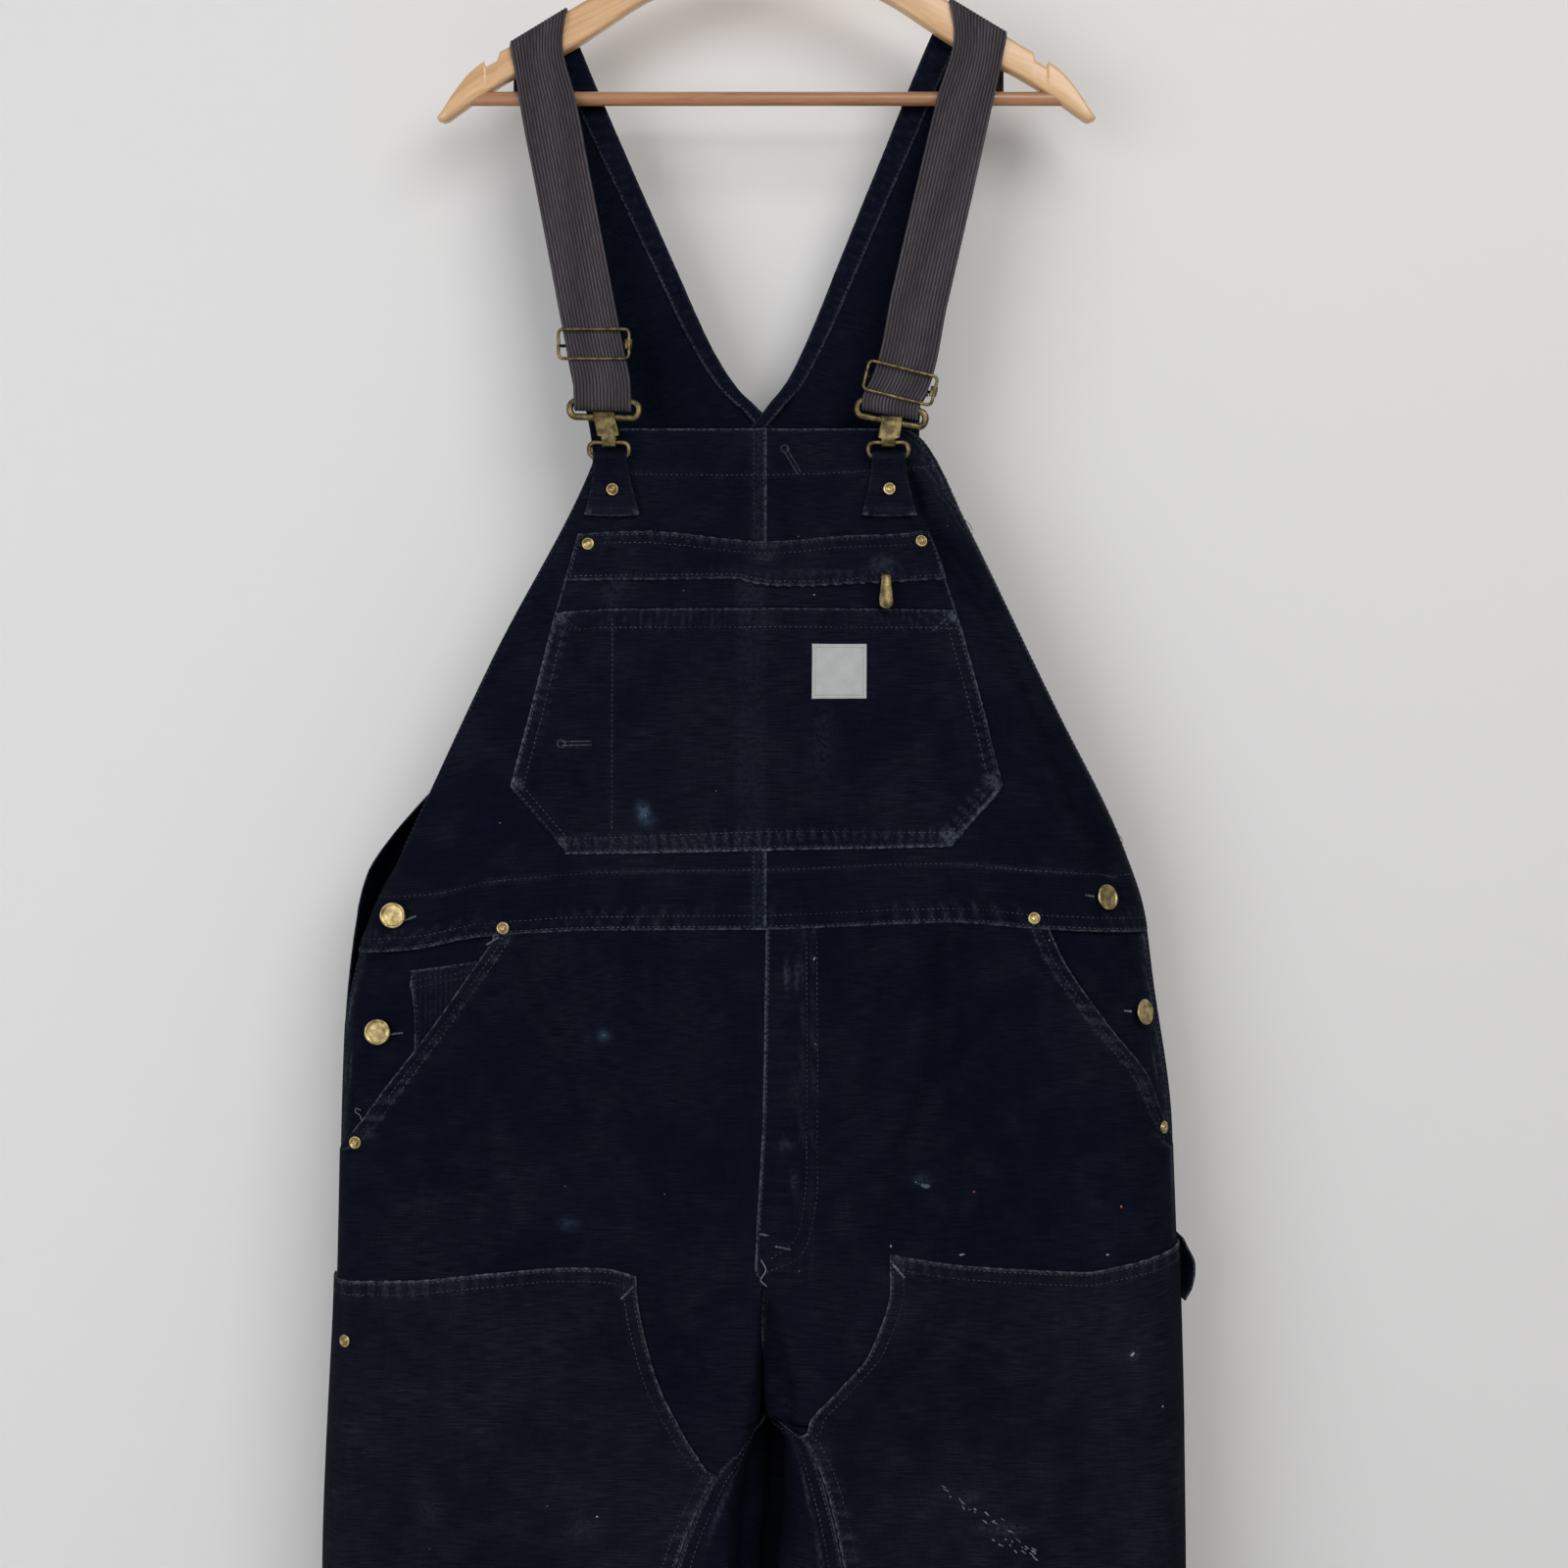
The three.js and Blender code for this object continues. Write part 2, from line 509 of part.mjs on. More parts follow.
function brace(side) {
  const { armX, clip, clipLean, adjuster, adjusterLean } = braces[side];
  const overArm = (y, drop) => [-1, 1].map((end) => {
    const x = armX + (end * WEB.width) / 2;
    return new THREE.Vector3(x, y, armTop(x) - drop);
  });
  const frontY = ADJUSTER.y - ADJUSTER.wire / 2 - 2 * WEB_CLEAR - WEB.thick / 2 - 0.15;
  const rodZ = clip[1] + CLIP.height / 2 - CLIP.wire / 2;
  const round = CLIP.wire / 2 + WEB_CLEAR;
  const barRound = ADJUSTER.wire / 2 + WEB_CLEAR;
  const armFace = -ARM_THICK / 2 - WEB_CLEAR;
  const armSlope = -Math.sign(armX) * 31;
  const between = (t) => webEdges(lerp(armX, adjuster[0], t), lerp(armFace - 0.6, frontY, t),
    lerp(armTop(armX) - 18, adjuster[1], t), lerp(armSlope, adjusterLean, Math.min(1, t * 2.2)));
  return ribbon([
    overArm(middleY[BACK](-157) - CLOTH / 2, HORN_BELOW_ARM - SEAM),
    overArm(8.4, 1.2),
    overArm(5, -1.7),
    overArm(-5, -1.7),
    overArm(-8, 1.2),
    ...[0, 0.2, 0.45, 0.75, 1].map(between),
    ...[180, 225, 270, 315, 360].map(degToRad).map((angle) =>
      webEdges(clip[0], CLIP.y + round * Math.cos(angle), rodZ + round * Math.sin(angle), clipLean)),
    ...[0, 60, 120, 180].map(degToRad).map((angle) =>
      webEdges(adjuster[0], ADJUSTER.y + barRound * Math.cos(angle), adjuster[1] + barRound * Math.sin(angle),
        adjusterLean)),
    webEdges(adjuster[0] + 0.5, ADJUSTER.y - barRound, adjuster[1] - 4, adjusterLean),
  ], WEB.thick);
}

// A clip: a wire ring that the webbing goes round, and a plate bent round the bib's ring.
function clip(side) {
  const { clip: [x, z], ringX, clipLean } = braces[side];
  const loop = wireLoop(CLIP.width, CLIP.height, CLIP.wire, 4.6);
  loop.rotateY(-degToRad(clipLean));
  loop.translate(x, CLIP.y, z);
  const low = RING.z + RING.height / 2 - RING.wire / 2; // the ring's upper bar
  const around = RING.wire / 2 + SEAM + CLIP.plateThick / 2;
  const edge = (at, y, height) => webEdges(at, y, height, 0, CLIP.plateWidth);
  const plate = ribbon([
    edge(x, CLIP.y - 1, z - CLIP.height / 2 + 1),
    edge(lerp(x, ringX, 0.6), RING.y - around, z - CLIP.height / 2 - 5),
    ...[180, 225, 270, 315, 360].map(degToRad).map((angle) =>
      edge(ringX, RING.y + around * Math.cos(angle), low + around * Math.sin(angle))),
    edge(ringX, RING.y + around - 0.2, low + 4),
  ], CLIP.plateThick);
  return join(loop, plate);
}

// An adjuster: a frame of wire in front of the webbing, with a bar behind it that the webbing's end is sewn round.
function adjuster(side) {
  const { adjuster: [x, z], adjusterLean } = braces[side];
  const frontY = ADJUSTER.y - ADJUSTER.wire / 2 - 2 * WEB_CLEAR - WEB.thick - 0.6 - ADJUSTER.wire / 2;
  const frame = wireLoop(ADJUSTER.width, ADJUSTER.height, ADJUSTER.wire, 3.2);
  frame.translate(0, frontY, 0);
  const reach = ADJUSTER.width / 2 - ADJUSTER.wire / 2;
  const rod = new THREE.CylinderGeometry(ADJUSTER.wire / 2, ADJUSTER.wire / 2, 2 * reach, 8).rotateZ(Math.PI / 2);
  rod.translate(0, ADJUSTER.y, 0);
  const depth = ADJUSTER.y - frontY;
  const arms = [-1, 1].map((end) =>
    new THREE.BoxGeometry(1.8, depth + ADJUSTER.wire, 5).translate(end * reach, (ADJUSTER.y + frontY) / 2, 0));
  const made = join(frame, rod, ...arms);
  made.rotateY(-degToRad(adjusterLean));
  return made.translate(x, 0, z);
}
for (const side of [RIGHT, LEFT]) {
  add(`brace_${sideName[side]}`, brace(side), elastic);
  add(`brace_clip_${sideName[side]}`, clip(side), brass);
  add(`brace_adjuster_${sideName[side]}`, adjuster(side), brass);
}

// ---------------------------------------------------------------- high back
function upperBack(side) {
  return wall(
    (u, v) => {
      const s = lerp(1 + 1e-5, 2 - SIDE_GAP, u);
      const topAt = (x) => armTop(x) - HORN_BELOW_ARM - SEAM;
      let z = lerp(-160, WAIST, v);
      for (let i = 0; i < 6; i += 1) z = lerp(topAt(formPoint(side, s, z).x), WAIST + SEAM, v);
      return form(side, s, z);
    },
    [0, 0.15, 0.35, 0.55, 0.75, 0.87, 0.94, 1],
    [0, 0.06, 0.16, 0.28, 0.38, 0.42, 0.47, 0.54, 0.64, 0.74, 0.84, 0.9, 0.95, 1], -CLOTH, 0,
  );
}
for (const side of [RIGHT, LEFT]) add(`back_upper_${sideName[side]}`, upperBack(side), duck);

// ---------------------------------------------------------------- fronts of the trousers
// x of the slanted pocket openings, which the fronts are cut back to.
const slantX = {
  [RIGHT]: curve([[-768, -181], [-783, -191.5], [-841, -233], [-894, -271], [-911, -286]]),
  [LEFT]: curve([[-762, 188], [-785, 198.5], [-830, 230], [-863, 256], [-892, 268], [-911, 277]]),
};
// Share of a face at which the inseam lies; above the crotch it is the centre seam.
function seamShare(side, z) {
  return z > CROTCH ? 1 : Math.min(0.999, shareAt(side, FRONT, inseamX[side](z), z));
}
const legRows = [WAIST, -790, -820, -850, -880, -890, -901, POCKET_FOOT, -950, -985, -1003, -1025, -1047, -1067, -1083, CROTCH,
  -1100, -1112, -1128, -1150, -1190, -1250, -1330, -1430, -1530, KNEE_PATCH_FOOT, -1745, HEM];
// Shares of the fronts' width at which their columns lie, close together on the rounded sides.
const frontColumns = [0, 0.02, 0.045, 0.075, 0.115, 0.17, 0.26, 0.38, 0.5, 0.62, 0.74, 0.86, 0.93, 1];
const FLAT_FROM = 0.26; // the column at which the flat middle begins

function legWall(side, at, columns, inner = -CLOTH, outer = 0, rows = legRows) {
  return wall((u, v) => at(u, rows[Math.round(v * (rows.length - 1))]), columns, rows.length - 1, inner, outer);
}
function frontPanel(side) {
  return legWall(side, (u, row) => {
    const start = row > POCKET_FOOT ? shareAt(side, FRONT, slantX[side](row), row) : GAP;
    const s = lerp(start, seamShare(side, row) - (row > CROTCH ? 0 : GAP), u);
    const { x } = formPoint(side, s, row);
    const z = row > -870 ? lerp(-870, waistSeam(x) - 3 * SEAM, (row + 870) / (WAIST + 870)) : row;
    return form(side, s, z);
  }, frontColumns);
}
for (const side of [RIGHT, LEFT]) add(`trouser_front_${sideName[side]}`, frontPanel(side), duck);

// ---------------------------------------------------------------- pocket facings and coin pocket
// The facing shows in the slanted opening, deeper than the front by the coin pocket's thickness.
const COIN_THICK = 1.2;
const FACING_TOP = -(CLOTH + 2 * SEAM + COIN_THICK);
const FACING_LAP = 16; // how far the facing runs on behind the front
const facingRows = legRows.filter((z) => z > POCKET_FOOT);
for (const side of [RIGHT, LEFT])
  add(`pocket_facing_${sideName[side]}`, legWall(side, (u, row) => {
    const s = lerp(GAP * 3, shareAt(side, FRONT, slantX[side](row) - side * FACING_LAP, row), u);
    const { x } = formPoint(side, s, row);
    const z = row > -870 ? lerp(-870, waistSeam(x) - SEAM, (row + 870) / (WAIST + 870)) : row;
    return form(side, s, z);
  }, [0, 0.06, 0.13, 0.21, 0.3, 0.42, 0.56, 0.75, 1], FACING_TOP - CLOTH, FACING_TOP, facingRows), duck);
add("coin_pocket", patch(FRONT, {
  left: (z) => lerp(-237, -233, (z + 791) / -60), right: (z) => slantX[RIGHT](z) + 10,
  top: -789, bottom: -848, columns: 4, rows: 5, inner: -CLOTH - SEAM - COIN_THICK, outer: -CLOTH - SEAM,
}), duck);

// ---------------------------------------------------------------- doubled knees
// x of the inner edge of each knee patch, which runs down to the inseam.
const kneeX = {
  [RIGHT]: curve([[-996, -86], [-1010, -85], [-1036, -80], [-1067, -71], [-1097, -56], [-1127, -38]]),
  [LEFT]: curve([[-984, 83], [-1014, 81], [-1044, 69], [-1074, 43], [-1090, 29], [-1098, 27]]),
};
const kneeMeets = { [RIGHT]: -1127, [LEFT]: -1098 };
const kneeTop = {
  [RIGHT]: curve([[86, -999], [108, -994], [135, -993], [184, -997], [241, -1003], [285, -1003]].map(
    ([x, z]) => [-x, z])),
  [LEFT]: curve([[-83, -984], [-137, -992], [-228, -995], [-250, -989.5], [-278, -984]]),
};
const kneeRows = [-998, -1010, ...legRows.filter((z) => z < -1020 && z >= KNEE_PATCH_FOOT)];
const KNEE_LAYER = 1.2; // gap under the patch, which is the widest of the pieces laid on others
const KNEE_EDGE = 0.012; // share of the width that shows between the patch and the outseam
for (const side of [RIGHT, LEFT])
  add(`knee_patch_${sideName[side]}`, legWall(side, (u, row) => {
    const edge = row > kneeMeets[side] ? kneeX[side](row) : inseamX[side](row) + side * 3;
    const onFront = (column) => lerp(GAP, seamShare(side, row), column);
    const flat = clamp((u - FLAT_FROM) / (1 - FLAT_FROM), 0, 1);
    const s = flat ? lerp(onFront(FLAT_FROM), shareAt(side, FRONT, edge, row), flat) : onFront(Math.max(u, KNEE_EDGE));
    const { x } = formPoint(side, s, row);
    const z = row > -1047 ? lerp(-1047, kneeTop[side](-Math.abs(x)), (row + 1047) / 49) : row;
    return form(side, s, z);
  }, frontColumns, KNEE_LAYER, KNEE_LAYER + CLOTH, kneeRows), duck);

// ---------------------------------------------------------------- seat and backs of the legs
// Shares at which the backs' columns lie: some where the leg turns inwards, the rest from there to the outseam.
const TURN = 1.12;
const turnColumns = [0, 0.2, 0.4, 0.6, 0.8];
const backShares = [TURN, 1.27, 1.42, 1.56, 1.7, 1.81, 1.89, 1.94, 1.975];
function backPanel(side) {
  return legWall(side, (u, row) => {
    const start = row > CROTCH ? 1 + 1e-5 : seamShare(side, row) + GAP;
    const i = Math.round(u * (turnColumns.length + backShares.length));
    const s = i < turnColumns.length ? lerp(start, TURN, turnColumns[i]) : backShares[i - turnColumns.length];
    return form(side, s ?? 2 - GAP, row);
  }, turnColumns.length + backShares.length);
}
for (const side of [RIGHT, LEFT]) add(`trouser_back_${sideName[side]}`, backPanel(side), duck);

// ---------------------------------------------------------------- side pockets and hammer loop
const sidePockets = { [RIGHT]: { top: -1030, foot: -1250 }, [LEFT]: { top: -1030, foot: -1215 } };
const sidePocketShares = [1.62, 1.7, 1.81, 1.89, 1.94, 1.975, 1.99];
for (const side of [RIGHT, LEFT]) {
  const { top, foot } = sidePockets[side];
  const rows = [top, ...legRows.filter((z) => z < top - 8 && z > foot + 8), foot];
  add(`side_pocket_${sideName[side]}`, legWall(side, (u, row) => {
    return form(side, sidePocketShares[Math.round(u * (sidePocketShares.length - 1))], row);
  }, sidePocketShares.length - 1, LAYER, LAYER + PATCH_THICK, rows), duck);
}
// A strip that stands out from the left outseam, above the side pocket.
const LOOP = { top: -975, foot: -1022, root: 2.6, stand: 8, front: -9, back: 13, thick: 1.5 };
add("hammer_loop", ribbon([[LOOP.top, 0.12], [-981, 0.5], [-990, 0.95], [-1001, 1], [-1012, 0.65], [LOOP.foot, 0.15]]
  .map(([z, out]) => [LOOP.front, LOOP.back].map((y) =>
    new THREE.Vector3(sideX[LEFT][BACK](z) + LOOP.root + LOOP.stand * out, y, z))), LOOP.thick), duck);

// ---------------------------------------------------------------- buttons and rivets
// A stud turned round its axis: [radius, height] stops from the middle of its foot to the middle of its head.
const stud = (stops, sides) => {
  const profile = stops.map(([radius, height]) => new THREE.Vector2(radius, height));
  return new THREE.LatheGeometry(profile, sides).rotateX(Math.PI / 2);
};
const buttonShape = stud([[0, 0], [3, 0], [3, 1.8], [8.65, 1.8], [8.65, 3.2], [7.6, 4], [6, 3.4], [0, 3.6]], 12);
const rivetShape = stud([[0, 0], [4.3, 0], [4.3, 0.8], [3.4, 1.6], [1.6, 1.9], [0, 1.9]], 10);
const STAND = 0.6; // clearance under a stud's flat foot
const buttons = {
  right_upper: [-251.5, -756, 0], right_lower: [-262, -835, FACING_TOP],
  left_upper: [229, -744, 0], left_lower: [254.5, -821.5, FACING_TOP],
};
for (const [name, [x, z, top]] of Object.entries(buttons))
  standOn(add(`side_button_${name}`, buttonShape, brass), FRONT, x, z, top + STAND);
const tabFront = LAYER + 2 * TAB.thick + SEAM;
const rivets = {
  tab_right: [-103.5, -470, tabFront], tab_left: [82.5, -470, tabFront],
  bib_pocket_right: [-119, -507, FLAP_LAYER.outer], bib_pocket_left: [103, -506, FLAP_LAYER.outer],
  pocket_top_right: [-177, -765, 0.3], pocket_top_left: [179, -758, 0],
  pocket_foot_right: [-276, -909, 0], pocket_foot_left: [267, -899, 0],
  side_pocket_right: [-281, -1041, KNEE_LAYER + CLOTH],
};
for (const [name, [x, z, top]] of Object.entries(rivets))
  standOn(add(`rivet_${name}`, rivetShape, brass), FRONT, x, z, top + STAND);

// ---------------------------------------------------------------- hanger
const NOTCH = { x: 187, width: 9, depth: 5 };
function hangerArms() {
  const inner = [0, 30, 60, 90, 120, 150, 173, NOTCH.x - NOTCH.width / 2 - 0.5];
  const outer = [NOTCH.x + NOTCH.width / 2 + 0.5, 206, 216];
  const notch = [[NOTCH.x - NOTCH.width / 2, -NOTCH.depth], [NOTCH.x + NOTCH.width / 2, -NOTCH.depth]];
  const top = [
    ...inner.map((x) => [x, armTop(x)]),
    ...notch.map(([x, drop]) => [x, armTop(x) + drop]),
    ...outer.map((x) => [x, armTop(x)]),
    [224.5, -214], [219, -218],
  ];
  const bottom = [[198, -202], [169, -184], [131, -165.5], [78, -132], [30, -113], [0, -110]];
  const half = [...top, ...bottom];
  const outline = [...half, ...half.slice(1, -1).reverse().map(([x, z]) => [-x, z])];
  const shape = new THREE.Shape(outline.map(([x, z]) => new THREE.Vector2(x, z)));
  const ROUND = 2;
  const body = new THREE.ExtrudeGeometry(shape, {
    depth: ARM_THICK - 2 * ROUND, bevelThickness: ROUND, bevelSize: ROUND, bevelOffset: -ROUND, bevelSegments: 1,
  });
  return body.rotateX(Math.PI / 2).translate(0, ARM_THICK / 2 - ROUND, 0);
}
const BAR = { radius: 4.75, z: -200, reach: 205 };
const barShape = (extra) =>
  new THREE.CylinderGeometry(BAR.radius + extra, BAR.radius + extra, 2 * (BAR.reach + extra), 12)
    .rotateZ(Math.PI / 2).translate(0, 0, BAR.z);
add("hanger_arms", cut(hangerArms(), barShape(SEAM)), beech);
add("hanger_bar", barShape(0), beech);

const HOOK = { wire: 2, inside: 20, tip: 205 }; // radii, and the angle at which the hook's tip ends
function hook() {
  const middle = HOOK.inside + HOOK.wire;
  const onCircle = (angle) => new THREE.Vector3(
    middle * Math.cos(degToRad(angle)), 0, -HOOK.inside + middle * Math.sin(degToRad(angle)));
  const arc = [-35, -5, 30, 60, 90, 120, 150, 180, HOOK.tip].map(onCircle);
  const shank = [[0, armTop(0) + SEAM], [0, -60], [3, -49]].map(([x, z]) => new THREE.Vector3(x, 0, z));
  return bar(new THREE.CatmullRomCurve3([...shank, ...arc], false, "centripetal"), HOOK.wire, 26, 6);
}
add("hanger_hook", hook(), steel);

export default overalls;
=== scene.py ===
import math

import bmesh
import bpy
import numpy as np
from mathutils import Matrix, Vector


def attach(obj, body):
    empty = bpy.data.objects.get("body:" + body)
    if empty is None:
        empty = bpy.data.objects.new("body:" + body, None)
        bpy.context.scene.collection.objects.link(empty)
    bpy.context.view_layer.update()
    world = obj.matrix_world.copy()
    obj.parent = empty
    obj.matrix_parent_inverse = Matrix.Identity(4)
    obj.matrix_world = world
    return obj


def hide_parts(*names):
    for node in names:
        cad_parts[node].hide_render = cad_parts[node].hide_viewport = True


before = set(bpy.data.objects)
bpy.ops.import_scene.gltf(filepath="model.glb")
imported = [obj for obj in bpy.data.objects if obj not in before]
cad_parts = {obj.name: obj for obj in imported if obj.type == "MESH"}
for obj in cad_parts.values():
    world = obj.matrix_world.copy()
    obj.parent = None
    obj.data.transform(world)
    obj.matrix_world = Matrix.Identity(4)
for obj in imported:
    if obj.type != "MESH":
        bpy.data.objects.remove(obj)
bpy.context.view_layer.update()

# ------------------------------------------------------------------ camera
# The garment hangs on a wall and is looked at squarely from a metre and a half away, level with the chest
# pocket.
EYE = (0.012, -1.5, -0.668)
VIEW_WIDE = math.radians(39.3)


def put(name, data):
    """A new object in the scene."""
    obj = bpy.data.objects.new(name, data)
    bpy.context.collection.objects.link(obj)
    return obj


camera_data = bpy.data.cameras.new("camera")
camera_data.angle = VIEW_WIDE
camera = put("camera", camera_data)
camera.location = EYE
camera.rotation_euler = (math.radians(90), 0, 0)
bpy.context.scene.camera = camera

# ------------------------------------------------------------------ wall, floor and light
# A pale wall just behind the hanger and a pale floor below the hems. The wall's far side lets light and the
# eye through, so that the garment can be looked at from behind too.
WALL_Y, WALL_TOP, FLOOR_Z, REACH = 0.062, 2, -1.97, 4.0
PALE_GREY = (0.60, 0.596, 0.597)
GARMENT_MIDDLE = (0, 0, -0.8)


def add_node(tree, kind, settings=None, **inputs):
    """A shader node, with its settings and its inputs: an input is a socket to link from, or a value."""
    node = tree.nodes.new(kind)
    for name, value in (settings or {}).items():
        setattr(node, name, value)
    for name, value in inputs.items():
        socket = node.inputs[int(name[1:])] if name[1:].isdigit() else node.inputs[name.replace("_", " ")]
        if isinstance(value, bpy.types.NodeSocket):
            tree.links.new(value, socket)
        else:
            socket.default_value = value
    return node


def new_material(name):
    """An empty material and its node tree."""
    material = bpy.data.materials.new(name)
    material.use_nodes = True
    material.node_tree.nodes.clear()
    return material, material.node_tree


def show(tree, shader):
    """Makes a shader what a material shows."""
    tree.links.new(shader, tree.nodes.new("ShaderNodeOutputMaterial").inputs["Surface"])


def math_node(tree, kind, a, b, c=0.0):
    return add_node(tree, "ShaderNodeMath", {"operation": kind}, _0=a, _1=b, _2=c).outputs[0]


def backdrop(name, corners, see_through):
    mesh = bpy.data.meshes.new(name)
    mesh.from_pydata(corners, [], [(0, 1, 2, 3)])
    material, tree = new_material(name)
    paint = add_node(tree, "ShaderNodeBsdfDiffuse", Color=(*PALE_GREY, 1)).outputs[0]
    if see_through:
        behind = add_node(tree, "ShaderNodeNewGeometry").outputs["Backfacing"]
        shadow = add_node(tree, "ShaderNodeLightPath").outputs["Is Shadow Ray"]
        clear = add_node(tree, "ShaderNodeBsdfTransparent").outputs[0]
        paint = add_node(tree, "ShaderNodeMixShader", _0=math_node(tree, "MAXIMUM", behind, shadow),
                         _1=paint,
                         _2=clear).outputs[0]
    show(tree, paint)
    mesh.materials.append(material)
    put(name, mesh)


backdrop("wall", [(-REACH, WALL_Y, FLOOR_Z), (REACH, WALL_Y, FLOOR_Z), (REACH, WALL_Y, WALL_TOP),
                  (-REACH, WALL_Y, WALL_TOP)], True)
backdrop("floor", [(-REACH, -REACH, FLOOR_Z), (REACH, -REACH, FLOOR_Z), (REACH, REACH, FLOOR_Z),
                   (-REACH, REACH, FLOOR_Z)], False)


def soft_light(name, place, size, power, color=(1, 1, 1)):
    data = bpy.data.lights.new(name, "AREA")
    data.size, data.energy, data.color = size, power, color
    light = put(name, data)
    light.location = place
    light.rotation_euler = (Vector(GARMENT_MIDDLE) - Vector(place)).to_track_quat("-Z", "Y").to_euler()


soft_light("key light", (1.0, -2.3, 0.7), 1.6, 45, (1, 0.99, 0.97))
soft_light("fill light", (-1.7, -2.2, -0.6), 2.0, 40, (0.97, 0.98, 1))
soft_light("far light", (0.5, 2.4, 0.6), 2.0, 108)
world = bpy.data.worlds.new("room")
world.use_nodes = True
background = world.node_tree.nodes["Background"]
background.inputs["Color"].default_value = (1, 0.99, 0.98, 1)
background.inputs["Strength"].default_value = 0.36
bpy.context.scene.world = world
bpy.context.scene.view_settings.view_transform = "Standard"

# ------------------------------------------------------------------ bib
# Two halves of navy-black cotton duck, joined at the centre front by a flat-felled seam with the right half
# on top. The top is hemmed, and the foot is sewn over the trousers' top edge with two rows of stitches.
MM = 0.001  # every size and place of the garment below is in millimetres
RIGHT, LEFT = -1, 1  # the wearer's right is on the -X side
FRONT, BACK = -1, 1  # the front faces -Y
CLOTH = 1.5  # thickness of the duck
LAYER = 0.7  # how far a piece that is sewn on top stands off
SEAM = 0.3  # the gap between two panels that meet
CENTRE = -3  # where the two halves meet
LEG_TURN = -1260  # below this height the legs hang straight, and the rows of their grids are wider apart
BIB_TOP, WAIST, VALLEY_TOP, CROTCH, KNEE_PATCH_FOOT, HEM = -428, -765, -1002, -1093, -1630, -1862
INSIDE_ROUND = {RIGHT: 12, LEFT: 30}  # how wide the rounding on the inside of each leg is
INSIDE_Y = -6  # where a leg's front and back meet there


def curve(stops):
    """A monotone curve through stops of (z, value), listed from the top down."""
    z, v = np.array(stops, float)[::-1].T
    slope = np.diff(v) / np.diff(z)
    before, after = np.r_[slope[0], slope], np.r_[slope, slope[-1]]
    even = before * after > 0
    tangent = np.where(even, 2 * before * after / np.where(even, before + after, 1), 0)

    def at(height):
        q = np.clip(np.asarray(height, float), z[0], z[-1])
        i = np.clip(np.searchsorted(z, q, side="right") - 1, 0, len(z) - 2)
        h = z[i + 1] - z[i]
        t = (q - z[i]) / h
        level = v[i] * (1 + 2 * t) * (1 - t) ** 2 + v[i + 1] * t * t * (3 - 2 * t)
        return level + h * t * (1 - t) * (tangent[i] * (1 - t) - tangent[i + 1] * t)

    return at


def unit(value):
    """A value kept between 0 and 1."""
    return np.clip(value, 0, 1)


def bell(away, width):
    """1 at no distance, falling off softly over a width on both sides."""
    return np.exp(-((away / width) ** 2))


outseam = {
    RIGHT: [(-755, -277), (-835, -286), (-1003, -291), (-1204, -299), (-1480, -298), (-1862, -290)],
    LEFT: [(-755, 259), (-800, 265), (-904, 278), (-1204, 283), (-1480, 284), (-1862, 276)],
}
side_x = {
    RIGHT: {
        FRONT: curve([(-428, -110), (-453, -118), (-581, -183), (-700, -238.5), (-722, -249), (-738, -258.5),
                      (-759, -268), (-781, -275.5), *outseam[RIGHT][1:]]),
        BACK: curve([(-150, -172), (-357, -138), (-445, -120), (-506, -133), (-634, -198), (-706, -257),
                     (-728, -270), *outseam[RIGHT]]),
    },
    LEFT: {
        FRONT: curve([(-428, 98), (-436, 108), (-489, 135), (-614, 195.5), (-708, 243), *outseam[LEFT]]),
        BACK: curve([(-150, 160), (-330, 121), (-431, 104), (-479, 119), (-621, 187), (-708, 240),
                     *outseam[LEFT]]),
    },
}
neck_x = {
    RIGHT: curve([(-140, -136), (-162, -128), (-214, -106), (-323, -58), (-347, -47.5), (-375, -33.5),
                  (-396, -19.5), (-411, -4.5), (-413, CENTRE - SEAM / 2)]),
    LEFT: curve([(-140, 120), (-154, 113), (-232, 81), (-306, 51), (-345, 35.5), (-368, 25.5), (-390, 14.5),
                 (-409, 0), (-413, CENTRE + SEAM / 2)]),
}
corner_width = {
    RIGHT: curve([(-428, 8), (-700, 8), (-800, 14), (-1000, 20), (-1204, 26), (-1862, 30)]),
    LEFT: curve([(-428, 22), (-600, 26), (-721, 44), (-800, 56), (-1000, 44), (-1204, 30), (-1862, 30)]),
}
middle_y = {
    FRONT: curve([(-428, -19), (-600, -27), (-765, -36), (-900, -41), (-1100, -43), (-1480, -42),
                  (-1862, -40)]),
    BACK: curve([(-157, 10.5), (-200, 10.5), (-428, 13), (-600, 18), (-765, 24), (-900, 29), (-1100, 30),
                 (-1480, 27),
                 (-1862, 27)]),
}
side_y = {
    RIGHT: {
        FRONT: curve([(-428, -16), (-690, -24), (-735, -15), (-900, -8), (-1100, -6), (-1862, -6)]),
        BACK: curve([(-157, 10.5), (-200, 10.5), (-428, 13), (-600, 15), (-690, -2), (-735, -15), (-900, -8),
                     (-1100, -6), (-1862, -6)]),
    },
    LEFT: {
        FRONT: curve([(-428, -7), (-600, -8), (-690, 2), (-735, 8), (-900, 6), (-1100, -4), (-1862, -6)]),
        BACK: curve([(-157, 10.5), (-200, 10.5), (-428, 13), (-690, 14), (-735, 8), (-900, 6), (-1100, -4),
                     (-1862, -6)]),
    },
}
inside_x = {
    RIGHT: curve([(CROTCH, CENTRE - SEAM), (-1130, -14), (-1204, -19), (-1480, -30), (-1862, -42)]),
    LEFT: curve([(CROTCH, CENTRE + SEAM), (-1112, 12), (-1150, 12), (-1204, 7), (-1480, 18), (-1862, 30)]),
}
